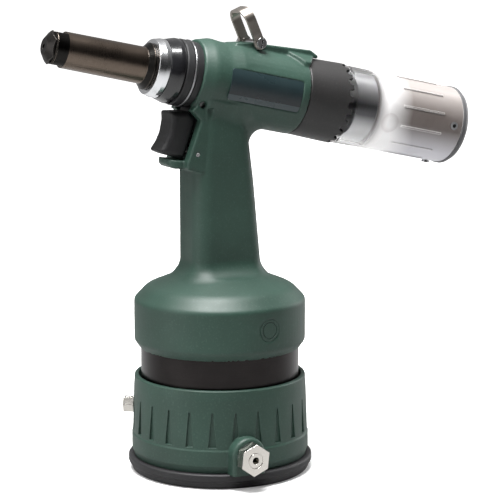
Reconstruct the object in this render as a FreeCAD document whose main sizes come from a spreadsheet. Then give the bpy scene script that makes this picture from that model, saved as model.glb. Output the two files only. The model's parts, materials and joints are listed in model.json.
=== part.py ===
import FreeCAD, Part
import math
import os
import Sketcher

# Air-over-oil blind rivet gun.
# Frame: the origin is the centre of the round foot, Z is up along the handle, the nose points to -X
# and is tilted up, the air inlet faces -Y.
# Barrel frame: its origin is where the barrel axis crosses the handle axis. Local Z runs forward along
# the barrel to the nose, local X is square to it and up, local Y is the same as global Y.

DIMENSIONS = (
    ("tilt", 12, "barrel above level, degrees"),
    ("axis_height", 241.4, "height of the barrel axis over the handle axis"),
    ("foot_r", 56, "rubber foot"),
    ("foot_top", 9.5, ""),
    ("housing_r", 55, "lower band of the base housing"),
    ("housing_rim_r", 53, ""),
    ("housing_top", 60, ""),
    ("groove_count", 24, "wedge grooves round the base housing"),
    ("groove_depth", 1.5, ""),
    ("cylinder_r", 49, "air cylinder"),
    ("cylinder_bore", 45.5, ""),
    ("cylinder_foot", 22, "underside of the air cylinder tube"),
    ("cylinder_top", 100, ""),
    ("air_piston_foot", 24, "underside of the air piston at rest"),
    ("air_piston_thick", 12, ""),
    ("ram_r", 7, ""),
    ("ram_top", 118, ""),
    ("skirt_r", 53, "body skirt over the air cylinder"),
    ("skirt_foot", 77, ""),
    ("skirt_top", 108.5, ""),
    ("shoulder_top", 125, ""),
    ("handle_front", 22.2, ""),
    ("handle_width", 35, ""),
    ("column_r", 10.5, "oil column inside the handle"),
    ("barrel_r", 24.5, ""),
    ("barrel_front", 20, "joint with the front cap, along the barrel"),
    ("barrel_rear", 51, "joint with the collar, behind the handle axis"),
    ("saddle_half", 8.4, "half width of the saddle"),
    ("casting_r", 20.4, "hydraulic body in the barrel"),
    ("casting_front", 11.9, ""),
    ("oil_bore", 15, ""),
    ("draw_rod_r", 7, ""),
    ("slack", 0.05, "radial running clearance"),
    ("sleeve_r", 10.9, "nose sleeve"),
    ("sleeve_bore", 8.5, ""),
    ("sleeve_front", 110.7, ""),
    ("tip_front", 115, ""),
    ("mandrel_bore", 1.6, ""),
    ("collar_rear", 81, ""),
    ("collar_teeth", 20, ""),
    ("bottle_r", 25, ""),
    ("bottle_rear", 162.5, ""),
    ("cap_rear", 167, ""),
    ("trigger_width", 18.5, ""),
    ("pivot_along", 15.2, "trigger pivot, barrel frame"),
    ("pivot_below", 16.3, ""),
    ("valve_height", 206, "pilot valve axis"),
    ("hanger_half", 11.4, "half width over the hanger's legs"),
    ("hanger_along", 17.2, "hanger pivot behind the handle axis, barrel frame"),
    ("hanger_up", 26.8, ""),
    ("hanger_reach", 22.5, ""),
    ("hanger_lean", 35, "degrees from the barrel normal, towards the nose"),
    ("boss_half", 10.8, "half width of the air inlet boss"),
    ("inlet_side", 8, "air inlet centre, towards the nose"),
    ("inlet_height", 20.5, ""),
    ("inlet_face", 67.3, ""),
    ("inlet_thread_r", 2.1, ""),
    ("relief_angle", 146, "relief valve, degrees from +X"),
    ("relief_height", 37.4, ""),
    ("emblem_angle", -80.5, "round plug, degrees from +X"),
    ("emblem_height", 95, ""),
)

doc = FreeCAD.newDocument("rivet_gun")
dim = doc.addObject("Spreadsheet::Sheet", "dim")
for row, (alias, value, note) in enumerate(DIMENSIONS, start=1):
    dim.set(f"A{row}", str(value))
    dim.setAlias(f"A{row}", alias)
    dim.set(f"B{row}", note)
doc.recompute()

ORIGIN = FreeCAD.Vector(0, 0, 0)
SIDEWAYS = FreeCAD.Vector(0, 1, 0)
FORWARD = FreeCAD.Vector(1, 0, 0)
UPWARD = FreeCAD.Vector(0, 0, 1)

BASE_SCREWS = 4
SCREW_CIRCLE = "36"
PISTON_TOP = "dim.air_piston_foot + dim.air_piston_thick"
JAWS = 3
CONE_SLOPE = "atan((6.2 - 3.4) / (95.5 - 79))"
CAP_SCREWS = 3
CAP_SCREW_ALONG = "-dim.bottle_rear + 7"
LABEL_LENGTH = "48.7"
LABEL_WIDTH = "19"
LABEL_FOOT = "-10.3"

nodes = []


def node(item, label):
    """Name a finished sub-part."""
    item.Label = label
    nodes.append(item)
    return item


def value_of(formula):
    """A formula's value with the sheet as it stands."""
    result = dim.evalExpression(formula)
    return float(getattr(result, "Value", result))


# ---------------------------------------------------------------- frames


def upright(item):
    """Leave an item in the global frame."""
    item.Placement = FreeCAD.Placement()


def along_barrel(item):
    """Put an item's local Z on the barrel axis, pointing to the nose."""
    item.Placement = FreeCAD.Placement(ORIGIN, FreeCAD.Rotation(SIDEWAYS, 1))
    item.setExpression("Placement.Base.z", "dim.axis_height")
    item.setExpression("Placement.Rotation.Angle", "dim.tilt - 90")


def barrel_point(up, side, along):
    """Formulas for the global place of a point given in the barrel frame."""
    x = f"({up}) * sin(dim.tilt) - ({along}) * cos(dim.tilt)"
    z = f"dim.axis_height + ({up}) * cos(dim.tilt) + ({along}) * sin(dim.tilt)"
    return x, side, z


def put(item, place, axis=UPWARD, angle="0"):
    """Bind an item's place and its turn about one axis."""
    item.Placement = FreeCAD.Placement(ORIGIN, FreeCAD.Rotation(axis, 1))
    for name, formula in zip("xyz", place):
        item.setExpression(f"Placement.Base.{name}", formula)
    item.setExpression("Placement.Rotation.Angle", angle)
    return item


# ---------------------------------------------------------------- primitives and booleans


def primitive(kind, name, **sizes):
    """A Part primitive whose sizes are formulas."""
    item = doc.addObject("Part::" + kind, name)
    for size, formula in sizes.items():
        item.setExpression(size, formula)
    return item


def rod(name, radius, length, place, axis=UPWARD, angle="0"):
    """A round bar that starts at a place."""
    return put(primitive("Cylinder", name, Radius=radius, Height=length), place, axis, angle)


def barrel_rod(name, radius, start, end, up="0", side="0"):
    """A round bar along the barrel, between two stations."""
    item = primitive("Cylinder", name, Radius=radius, Height=f"({end}) - ({start})")
    return put(item, barrel_point(up, side, start), SIDEWAYS, "dim.tilt - 90")


def cross_rod(name, radius, length, place):
    """A round bar across the tool, centred on a place, its axis along Y."""
    x, side, z = place
    return rod(name, radius, length, (x, f"({side}) + ({length}) / 2", z), FORWARD, "90")


def block(name, length, width, height, place, axis=UPWARD, angle="0"):
    """A rectangular block that starts at a place."""
    return put(primitive("Box", name, Length=length, Width=width, Height=height), place, axis, angle)


def fuse(name, *items):
    """One solid from several."""
    item = doc.addObject("Part::MultiFuse", name)
    item.Shapes = list(items)
    item.Refine = True
    return item


def cut(name, base, *tools):
    """The base without the tools."""
    item = doc.addObject("Part::Cut", name)
    item.Base = base
    item.Tool = tools[0] if len(tools) == 1 else group(name + "_tools", *tools)
    item.Refine = True
    return item


def common(name, first, second):
    """What two solids share."""
    item = doc.addObject("Part::Common", name)
    item.Base = first
    item.Tool = second
    return item


def group(name, *items):
    """Separate solids kept as one object."""
    item = doc.addObject("Part::Compound", name)
    item.Links = list(items)
    return item


# ---------------------------------------------------------------- sketches


def origin_feature(body, role):
    """A body's own origin plane or axis."""
    return next(item for item in body.Origin.OriginFeatures if item.Role == role)


def sketch_on(body, name, plane, offset="0"):
    """An empty sketch on one of the body's origin planes, or parallel to it."""
    sketch = body.newObject("Sketcher::SketchObject", name)
    sketch.AttachmentSupport = [(origin_feature(body, plane), "")]
    sketch.MapMode = "FlatFace"
    sketch.setExpression("AttachmentOffset.Base.z", offset)
    return sketch


def bound(sketch, kind, edge, point, formula):
    """Tie one coordinate of a sketch point to a formula."""
    index = sketch.addConstraint(Sketcher.Constraint(kind, edge, point, value_of(formula)))
    sketch.setExpression(f"Constraints[{index}]", formula)


def draw_outline(sketch, outline):
    """A closed outline of straight edges; each corner is a pair of formulas."""
    corners = [FreeCAD.Vector(value_of(across), value_of(along), 0) for across, along in outline]
    count = len(corners)
    for edge in range(count):
        sketch.addGeometry(Part.LineSegment(corners[edge], corners[(edge + 1) % count]))
    for edge, (across, along) in enumerate(outline):
        sketch.addConstraint(Sketcher.Constraint("Coincident", edge, 2, (edge + 1) % count, 1))
        bound(sketch, "DistanceX", edge, 1, across)
        bound(sketch, "DistanceY", edge, 1, along)


def draw_circle(sketch, radius, across, along):
    """A circle with its radius and centre bound."""
    centre = FreeCAD.Vector(value_of(across), value_of(along), 0)
    edge = sketch.addGeometry(Part.Circle(centre, UPWARD, value_of(radius)))
    index = sketch.addConstraint(Sketcher.Constraint("Radius", edge, value_of(radius)))
    sketch.setExpression(f"Constraints[{index}]", radius)
    bound(sketch, "DistanceX", edge, 3, across)
    bound(sketch, "DistanceY", edge, 3, along)


# ---------------------------------------------------------------- bodies


def turned(name, frame, *outline, plane="XZ_Plane"):
    """A body of revolution about its local Z; the outline's corners are (radius, station)."""
    body = doc.addObject("PartDesign::Body", name)
    sketch = sketch_on(body, name + "_section", plane)
    draw_outline(sketch, outline)
    turn = body.newObject("PartDesign::Revolution", name + "_turn")
    turn.Profile = sketch
    turn.ReferenceAxis = (sketch, ["V_Axis"])
    turn.Angle = 360
    sketch.Visibility = False
    frame(body)
    doc.recompute()
    return body


def ring(name, frame, inner, outer, low, high):
    """A plain ring between two radii and two stations."""
    return turned(name, frame, (inner, low), (outer, low), (outer, high), (inner, high))


def disc(name, frame, outer, low, high):
    """A plain solid disc between two stations."""
    return turned(name, frame, ("0", low), (outer, low), (outer, high), ("0", high))


def plate(name, frame, width, outline):
    """A body padded evenly to both sides of its local XZ plane."""
    body = doc.addObject("PartDesign::Body", name)
    sketch = sketch_on(body, name + "_side", "XZ_Plane")
    draw_outline(sketch, outline)
    pad = body.newObject("PartDesign::Pad", name + "_pad")
    pad.Profile = sketch
    pad.SideType = "Symmetric"
    pad.setExpression("Length", width)
    frame(body)
    doc.recompute()
    return body


def prism(body, sketch, name, length, reverse=False):
    """Pad a sketch square to its plane."""
    pad = body.newObject("PartDesign::Pad", name)
    pad.Profile = sketch
    pad.Reversed = reverse
    pad.setExpression("Length", length)
    doc.recompute()
    return pad


def pocket(body, sketch, name, depth, reverse=False):
    """Cut a sketch into a body, and stop if nothing was cut."""
    before = body.Shape.Volume
    hole = body.newObject("PartDesign::Pocket", name)
    hole.Profile = sketch
    hole.Reversed = reverse
    hole.setExpression("Length", depth)
    doc.recompute()
    if body.Shape.Volume >= before:
        raise RuntimeError(name + " cuts nothing")
    return hole


def repeat_round(body, feature, name, count):
    """Repeat a feature evenly about the body's local Z."""
    pattern = body.newObject("PartDesign::PolarPattern", name)
    pattern.Originals = [feature]
    pattern.Axis = (origin_feature(body, "Z_Axis"), [""])
    pattern.Angle = 360
    pattern.setExpression("Occurrences", count)
    body.Tip = pattern
    doc.recompute()
    return pattern


def rim(radius, station):
    """A test for a circular edge about local Z."""
    wanted_radius = value_of(radius)
    wanted_station = value_of(station)

    def matches(edge):
        curve = edge.Curve
        return (
            isinstance(curve, Part.Circle)
            and abs(curve.Radius - wanted_radius) < 0.01
            and abs(curve.Center.z - wanted_station) < 0.01
        )

    return matches


def across(x, z):
    """A test for a straight edge along local Y that passes through a point."""
    wanted_x = value_of(x)
    wanted_z = value_of(z)

    def matches(edge):
        first, last = edge.Vertexes[0].Point, edge.Vertexes[-1].Point
        straight = isinstance(edge.Curve, Part.Line) and abs(first.y - last.y) > 0.5
        near_x = abs(first.x - wanted_x) < 0.02 and abs(last.x - wanted_x) < 0.02
        near_z = abs(first.z - wanted_z) < 0.02 and abs(last.z - wanted_z) < 0.02
        return straight and near_x and near_z

    return matches


def flank(edge):
    """A test for the edges that bound the two flat sides of a plate."""
    return edge.BoundBox.YLength < 0.01


def soften(body, size, *tests, kind="Fillet"):
    """Fillet or chamfer the edges of the body's tip that pass any of the tests."""
    base = body.Tip
    edges = base.Shape.Edges
    names = [f"Edge{index}" for index, edge in enumerate(edges, 1) if any(test(edge) for test in tests)]
    if not names:
        raise RuntimeError(body.Name + " has no edge to soften")
    feature = body.newObject("PartDesign::" + kind, f"{body.Name}_{kind.lower()}_{len(body.Group)}")
    feature.Base = (base, names)
    feature.setExpression("Radius" if kind == "Fillet" else "Size", size)
    doc.recompute()
    return feature


# ---------------------------------------------------------------- base


def base_ring():
    """Rubber foot ring with a proud lip; the base plate sits in its step."""
    foot = turned(
        "base_ring",
        upright,
        ("42", "0"),
        ("dim.foot_r - 1", "0"),
        ("dim.foot_r", "4.4"),
        ("dim.foot_r + 1.2", "5"),
        ("dim.foot_r + 1.2", "dim.foot_top"),
        ("dim.cylinder_r + 0.3", "dim.foot_top"),
        ("dim.cylinder_r + 0.3", "4"),
        ("42", "4"),
    )
    soften(foot, "2.5", rim("dim.foot_r - 1", "0"))
    soften(foot, "1.2", rim("dim.foot_r + 1.2", "5"), rim("dim.foot_r + 1.2", "dim.foot_top"))
    return foot


def base_plate():
    """Steel plate closing the base, with four screw holes."""
    plate_body = disc("base_plate", upright, "dim.cylinder_r + 0.2", "4.1", "dim.foot_top - 0.05")
    sketch = sketch_on(plate_body, "base_plate_hole", "XY_Plane")
    draw_circle(sketch, "2.6", SCREW_CIRCLE, "0")
    hole = pocket(plate_body, sketch, "base_plate_drill", "dim.foot_top", reverse=True)
    repeat_round(plate_body, hole, "base_plate_holes", str(BASE_SCREWS))
    return plate_body


def base_screws():
    """Pan-head screws that hold the plate to the housing from below."""
    heads = screw_bars("base_screw_head", "4.5", "1.2", "2.8")
    shanks = screw_bars("base_screw_shank", "2.5", "4", "9")
    screws = [fuse(f"base_screw_{index}", *pair) for index, pair in enumerate(zip(heads, shanks))]
    return group("base_screws", *screws)


def inlet_boss():
    """Boss under the air inlet, arched on top and rounded in front."""
    face = "-dim.inlet_face + 8"
    body = doc.addObject("PartDesign::Body", "inlet_boss")
    sketch = sketch_on(body, "inlet_boss_arch", "XZ_Plane", f"-({face})")
    left = "-dim.inlet_side - dim.boss_half"
    right = "-dim.inlet_side + dim.boss_half"
    top = "dim.inlet_height + 1 + dim.boss_half"
    foot = "dim.foot_top + 0.05"
    draw_outline(sketch, ((left, foot), (right, foot), (right, top), (left, top)))
    prism(body, sketch, "inlet_boss_pad", "17", reverse=True)
    upper = [across(x, top) for x in (left, right)]
    soften(body, "dim.boss_half - 0.1", *upper)
    soften(body, "2.4", facing(face))
    return body


def facing(side):
    """A test for the edges that lie in the plane of one Y."""
    wanted = value_of(side)
    floor = value_of("dim.foot_top") + 1

    def matches(edge):
        box = edge.BoundBox
        return box.YLength < 0.01 and abs(box.YMin - wanted) < 0.02 and box.ZMax > floor

    return matches


def screw_bars(name, radius, start, length):
    """Round bars on the base screws' circle."""
    bars = []
    for index in range(BASE_SCREWS):
        angle = f"{index} * 360 / {BASE_SCREWS}"
        place = (f"{SCREW_CIRCLE} * cos({angle})", f"{SCREW_CIRCLE} * sin({angle})", start)
        bars.append(rod(f"{name}_{index}", radius, length, place))
    return bars


def base_housing():
    """Green base cup: grooved wall, floor, air inlet boss and relief valve hole."""
    wall = turned(
        "housing_wall",
        upright,
        ("0", "dim.foot_top + 0.05"),
        ("8", "dim.foot_top + 0.05"),
        ("8", "12.6"),
        ("28", "12.6"),
        ("28", "dim.foot_top + 0.05"),
        ("dim.housing_r - 1.4", "dim.foot_top + 0.05"),
        ("dim.housing_r", "14"),
        ("dim.housing_r", "23.2"),
        ("dim.housing_r - 0.5", "24.2"),
        ("dim.housing_rim_r + 0.5", "54"),
        ("dim.housing_rim_r", "dim.housing_top"),
        ("dim.cylinder_r + 1.6", "dim.housing_top"),
        ("dim.cylinder_r + 0.3", "dim.housing_top - 4"),
        ("dim.cylinder_r + 0.3", "14.2"),
        ("0", "14.2"),
    )
    soften(wall, "0.9", rim("dim.housing_rim_r", "dim.housing_top"))
    wedge = sketch_on(wall, "housing_wedge", "YZ_Plane", "dim.housing_r - 0.5 - dim.groove_depth")
    draw_outline(wedge, (("-2.4", "25.4"), ("2.4", "25.4"), ("0.5", "46.5"), ("-0.5", "46.5")))
    groove = pocket(wall, wedge, "housing_groove", "6", reverse=True)
    repeat_round(wall, groove, "housing_grooves", "dim.groove_count")
    whole = fuse("housing_solid", wall, inlet_boss())
    bore = rod("housing_bore", "dim.cylinder_r + 0.3", "60", ("0", "0", "14.2"))
    inlet = rod("inlet_hole", "6.6", "30", ("-dim.inlet_side", "-40", "dim.inlet_height"), FORWARD, "90")
    relief = relief_rod("relief_hole", "3.6", "12", "48")
    return cut("base_housing", whole, bore, inlet, relief, *screw_bars("floor_hole", "2.55", "8", "10"))


def inlet_place(depth):
    """A point on the air inlet's axis, a distance in from its face."""
    return "-dim.inlet_side", f"-dim.inlet_face + ({depth})", "dim.inlet_height"


def hexagon_bar(name, flats, length, place, axis, angle):
    """A hexagonal bar that starts at a place, two of its corners on its local X."""
    bar = primitive("Prism", name, Circumradius=f"({flats}) / 2 / cos(30)", Height=length)
    bar.Polygon = 6
    return put(bar, place, axis, angle)


def outward(item, place, spin):
    """Point an item's local Z to -Y at a place, spun about it by some degrees."""
    item.setExpression("Placement.Rotation.Angle", None)
    turn = FreeCAD.Rotation(FORWARD, 90) * FreeCAD.Rotation(UPWARD, spin)
    item.Placement = FreeCAD.Placement(ORIGIN, turn)
    for name, formula in zip("xyz", place):
        item.setExpression(f"Placement.Base.{name}", formula)
    return item


def radial(item, azimuth, start, height):
    """Point an item's local Z out from the handle axis, from a start radius and height."""
    angle = math.radians(value_of(azimuth))
    out = FreeCAD.Vector(math.cos(angle), math.sin(angle), 0)
    place = out * value_of(start) + UPWARD * value_of(height)
    item.Placement = FreeCAD.Placement(place, FreeCAD.Rotation(UPWARD, out))
    return item


def air_inlet_fitting():
    """Nickel-plated hose fitting: hexagon with a ring groove, shank and threaded bore."""
    hexagon = hexagon_bar("inlet_hexagon", "17", "7.2", ("0", "0", "0"), FORWARD, "90")
    head = outward(hexagon, inlet_place("7.2"), 84)
    shank = rod("inlet_shank", "6.5", "12", inlet_place("16"), FORWARD, "90")
    thread = rod("inlet_thread", "dim.inlet_thread_r", "8", inlet_place("8"), FORWARD, "90")
    through = rod("inlet_through", "1.6", "20", inlet_place("18"), FORWARD, "90")
    groove_outside = rod("inlet_groove_outside", "4.85", "1", inlet_place("0.6"), FORWARD, "90")
    groove_inside = rod("inlet_groove_inside", "4.35", "2", inlet_place("1.2"), FORWARD, "90")
    groove = cut("inlet_groove", groove_outside, groove_inside)
    return cut("air_inlet_fitting", fuse("inlet_solid", head, shank), thread, through, groove)


def inlet_washer():
    """Sealing washer between the fitting and the boss."""
    outside = rod("inlet_washer_disc", "8.4", "0.7", inlet_place("7.95"), FORWARD, "90")
    inside = rod("inlet_washer_hole", "6.55", "2", inlet_place("8.6"), FORWARD, "90")
    return cut("inlet_washer", outside, inside)


def relief_rod(name, radius, length, start):
    """A bar on the relief valve's axis, from a distance off the handle axis outwards."""
    bar = primitive("Cylinder", name, Radius=radius, Height=length)
    return radial(bar, "dim.relief_angle", start, "dim.relief_height")


def relief_valve_body():
    """Hexagonal relief valve screwed through the housing wall."""
    head = primitive("Prism", "relief_hexagon", Circumradius="9.5 / 2 / cos(30)", Height="6.6")
    head.Polygon = 6
    radial(head, "dim.relief_angle", "dim.housing_rim_r + 1.4", "dim.relief_height")
    shank = relief_rod("relief_shank", "3.55", "6", "dim.cylinder_r + 0.6")
    chamber = relief_rod("relief_chamber", "2.6", "9", "dim.cylinder_r + 2.2")
    vent = relief_rod("relief_vent", "1.6", "20", "dim.cylinder_r")
    return cut("relief_valve_body", fuse("relief_solid", head, shank), chamber, vent)


def relief_poppet():
    """Poppet on its seat inside the relief valve."""
    head = relief_rod("poppet_head", "2.55", "1.6", "dim.cylinder_r + 2.3")
    stem = relief_rod("poppet_stem", "1", "6", "dim.cylinder_r + 2.3")
    return fuse("relief_poppet", head, stem)


def coil(name, frame, radius, wire, low, high, turns):
    """A coil spring about local Z, swept along a helix."""
    pitch = (value_of(high) - value_of(low) - 2 * value_of(wire)) / turns
    foot = FreeCAD.Vector(0, 0, value_of(low) + value_of(wire))
    helix = Part.makeLongHelix(pitch, pitch * turns, value_of(radius))
    helix.translate(foot)
    start = FreeCAD.Vector(value_of(radius), 0, 0) + foot
    section = Part.Wire(Part.makeCircle(value_of(wire), start, SIDEWAYS))
    spring = doc.addObject("Part::Feature", name)
    spring.Shape = Part.Wire(helix.Edges).makePipeShell([section], True, True)
    frame(spring)
    return spring


def relief_seat(item):
    """Frame of the relief spring, on its poppet."""
    radial(item, "dim.relief_angle", "dim.cylinder_r + 4.1", "dim.relief_height")


def placed(place, axis, angle):
    """A frame at a place, turned about one axis."""

    def frame(item):
        put(item, place, axis, angle)

    return frame


def cylinder_base():
    """Aluminium manifold under the air cylinder, with the main valve's bore."""
    solid = turned(
        "manifold",
        upright,
        ("0", "14.3"),
        ("dim.cylinder_r + 0.2", "14.3"),
        ("dim.cylinder_r + 0.2", "dim.cylinder_foot - 0.1"),
        ("dim.cylinder_bore - 0.1", "dim.cylinder_foot - 0.1"),
        ("dim.cylinder_bore - 0.1", "dim.cylinder_foot + 1.2"),
        ("0", "dim.cylinder_foot + 1.2"),
    )
    bore = rod("spool_bore", "3.05", "40", ("-20", "12", "18.4"), SIDEWAYS, "90")
    holes = []
    for index in range(BASE_SCREWS):
        angle = f"{index} * 360 / {BASE_SCREWS}"
        place = (f"{SCREW_CIRCLE} * cos({angle})", f"{SCREW_CIRCLE} * sin({angle})", "13")
        holes.append(rod(f"manifold_hole_{index}", "2.6", "4", place))
    return cut("cylinder_base", solid, bore, *holes)


def main_valve_spool():
    """Grooved spool of the main air valve."""
    spool = turned(
        "main_valve_spool",
        placed(("-19", "12", "18.4"), SIDEWAYS, "90"),
        ("0", "0"),
        ("3", "0"),
        ("3", "5"),
        ("1.8", "5"),
        ("1.8", "10"),
        ("3", "10"),
        ("3", "14"),
        ("1.8", "14"),
        ("1.8", "19"),
        ("3", "19"),
        ("3", "24"),
        ("0", "24"),
    )
    return spool


def air_cylinder():
    """Anodised air cylinder tube."""
    tube = ring(
        "air_cylinder",
        upright,
        "dim.cylinder_bore",
        "dim.cylinder_r",
        "dim.cylinder_foot",
        "dim.cylinder_top",
    )
    soften(tube, "0.6", rim("dim.cylinder_r", "dim.cylinder_top"), kind="Chamfer")
    return tube


def air_piston():
    """Air piston with a seal groove, a nut recess and a hole for the ram's stud."""
    return turned(
        "air_piston",
        upright,
        ("5.05", "dim.air_piston_foot + 4"),
        ("9", "dim.air_piston_foot + 4"),
        ("9", "dim.air_piston_foot"),
        ("dim.cylinder_bore - 0.6", "dim.air_piston_foot"),
        ("dim.cylinder_bore - 0.6", "dim.air_piston_foot + 4"),
        ("dim.cylinder_bore - 4", "dim.air_piston_foot + 4"),
        ("dim.cylinder_bore - 4", "dim.air_piston_foot + 8"),
        ("dim.cylinder_bore - 0.6", "dim.air_piston_foot + 8"),
        ("dim.cylinder_bore - 0.6", "dim.air_piston_foot + 10"),
        ("14", "dim.air_piston_foot + 10"),
        ("14", PISTON_TOP),
        ("5.05", PISTON_TOP),
    )


def ram():
    """Steel ram that the air piston pushes up into the oil."""
    bar = turned(
        "ram",
        upright,
        ("0", "dim.air_piston_foot + 0.6"),
        ("5", "dim.air_piston_foot + 0.6"),
        ("5", PISTON_TOP),
        ("dim.ram_r", PISTON_TOP),
        ("dim.ram_r", "dim.ram_top"),
        ("0", "dim.ram_top"),
    )
    soften(bar, "1", rim("dim.ram_r", "dim.ram_top"), kind="Chamfer")
    return bar


def piston_nut():
    """Nut that holds the air piston on the ram."""
    outside = hexagon_bar(
        "piston_nut_hexagon", "14", "3.3", ("0", "0", "dim.air_piston_foot + 0.6"), UPWARD, "0"
    )
    hole = rod("piston_nut_hole", "5.02", "10", ("0", "0", "dim.air_piston_foot - 2"))
    return cut("piston_nut", outside, hole)


def cylinder_head():
    """Plate closing the top of the air cylinder."""
    return turned(
        "cylinder_head",
        upright,
        ("11.05", "95"),
        ("dim.cylinder_bore - 0.1", "95"),
        ("dim.cylinder_bore - 0.1", "dim.cylinder_top + 0.1"),
        ("dim.cylinder_r - 0.1", "dim.cylinder_top + 0.1"),
        ("dim.cylinder_r - 0.1", "dim.cylinder_top + 4"),
        ("11.05", "dim.cylinder_top + 4"),
    )


def ram_gland():
    """Bronze guide of the ram, with a seat for its seal."""
    return turned(
        "ram_gland",
        upright,
        ("dim.ram_r + dim.slack", "95"),
        ("11", "95"),
        ("11", "dim.cylinder_top + 4"),
        ("9.6", "dim.cylinder_top + 4"),
        ("9.6", "dim.cylinder_top"),
        ("dim.ram_r + dim.slack", "dim.cylinder_top"),
    )


def ram_seal():
    """Seal ring round the ram, in the gland's seat."""
    foot = "dim.cylinder_top + 0.1"
    return ring("ram_seal", upright, "dim.ram_r + dim.slack", "9.5", foot, f"{foot} + 3.8")


# ---------------------------------------------------------------- body


PIVOT = barrel_point("-dim.pivot_below", "0", "dim.pivot_along")
PIVOT_X, _, PIVOT_Z = PIVOT
STOP = ("-21.7", "0", "198.65")


def handle_solid():
    """Handle, flat-sided with rounded long edges and an arched root under the barrel."""
    outline = (
        ("-dim.handle_front", "112"),
        ("23.4", "112"),
        ("22.8", "132"),
        ("18.1", "181"),
        ("13.9", "213.2"),
        ("34", "209.1"),
        ("34", "218"),
        ("12", "236"),
        ("-dim.handle_front + 4", "232"),
        ("-dim.handle_front", "190"),
    )
    handle = plate("handle_grip", upright, "dim.handle_width", outline)
    soften(handle, "10", across("13.9", "213.2"))
    soften(handle, "9.5", long_flank)
    return handle


def long_flank(edge):
    """A test for the handle's long edges, up to the arch."""
    return flank(edge) and edge.BoundBox.ZLength > 5 and edge.BoundBox.ZMin < 205


def cheek_solid():
    """Cheeks on both sides of the trigger, down to the finger guard."""
    outline = (
        ("-28.5", "190"),
        ("-14", "186"),
        ("-8", "196"),
        ("-8", "232"),
        ("-20", "230"),
        ("-28.5", "222"),
    )
    return plate("cheeks", upright, "33", outline)


def ledge_solid():
    """Finger guard under the trigger, rounded in plan."""
    outline = (
        ("-37.9", "196.4"),
        ("-37.9", "192.8"),
        ("-34.5", "190.2"),
        ("-24", "189.6"),
        ("-16", "186"),
        ("-16", "194.5"),
        ("-24", "194.5"),
        ("-28", "194.8"),
        ("-34", "195.3"),
    )
    ledge = plate("finger_guard", upright, "dim.trigger_width + 4", outline)
    soften(ledge, "7", upright_at("-37.9"))
    return ledge


def upright_at(x):
    """A test for straight vertical edges at one X."""
    wanted = value_of(x)

    def matches(edge):
        box = edge.BoundBox
        level = box.XLength < 0.01 and box.YLength < 0.01
        return isinstance(edge.Curve, Part.Line) and level and abs(box.XMin - wanted) < 0.02

    return matches


def shoulder_solid():
    """Skirt round the air cylinder and the domed shoulder up to the handle."""
    solid = turned(
        "skirt",
        upright,
        ("0", "dim.skirt_foot"),
        ("dim.cylinder_r + 0.4", "dim.skirt_foot"),
        ("dim.skirt_r", "dim.skirt_foot + 5"),
        ("dim.skirt_r", "dim.skirt_top - 1"),
        ("45.5", "dim.skirt_top + 6.8"),
        ("27", "dim.shoulder_top - 2.2"),
        ("10", "dim.shoulder_top"),
        ("0", "dim.shoulder_top"),
    )
    soften(solid, "3", rim("dim.skirt_r", "dim.skirt_foot + 5"))
    soften(solid, "4", rim("dim.skirt_r", "dim.skirt_top - 1"))
    soften(solid, "14", rim("45.5", "dim.skirt_top + 6.8"))
    return solid


def barrel_solid():
    """Barrel: a waisted front bulge, then a straight run back to the collar."""
    solid = turned(
        "barrel",
        along_barrel,
        ("0", "-dim.barrel_rear"),
        ("dim.barrel_r", "-dim.barrel_rear"),
        ("dim.barrel_r - 0.2", "-6"),
        ("dim.barrel_r - 1.4", "3"),
        ("dim.barrel_r - 0.6", "12"),
        ("dim.barrel_r - 2.8", "dim.barrel_front"),
        ("0", "dim.barrel_front"),
        plane="YZ_Plane",
    )
    soften(solid, "14", rim("dim.barrel_r - 1.4", "3"))
    soften(solid, "6", rim("dim.barrel_r - 0.6", "12"))
    return solid


def saddle_solid():
    """Saddle on the barrel that carries the hanger, with a wide tongue over the collar."""
    outline = (
        ("18", "-3"),
        ("24", "-3"),
        ("26.2", "-14"),
        ("28.9", "-dim.barrel_rear - 3"),
        ("26.4", "-dim.barrel_rear - 8.5"),
        ("18", "-dim.barrel_rear - 8.5"),
    )
    rail = plate("saddle_rail", along_barrel, "2 * dim.saddle_half", outline)
    soften(rail, "2.5", across("28.9", "-dim.barrel_rear - 3"))
    half_plan = (
        ("dim.saddle_half", "-38"),
        ("16.5", "-47.5"),
        ("16.5", "-dim.barrel_rear - 0.5"),
        ("8", "-dim.barrel_rear - 5.5"),
        ("3", "-dim.barrel_rear - 8.5"),
    )
    mirrored = tuple((f"-({side})", along) for side, along in reversed(half_plan))
    tongue = doc.addObject("PartDesign::Body", "saddle_tongue")
    sketch = sketch_on(tongue, "saddle_plan", "YZ_Plane", "15")
    draw_outline(sketch, half_plan + mirrored)
    prism(tongue, sketch, "saddle_tongue_pad", "14")
    along_barrel(tongue)
    crown = barrel_rod("saddle_crown", "dim.barrel_r + 2.4", "-dim.barrel_rear - 12", "-30")
    return fuse("saddle", rail, common("saddle_wings", tongue, crown))


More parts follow.
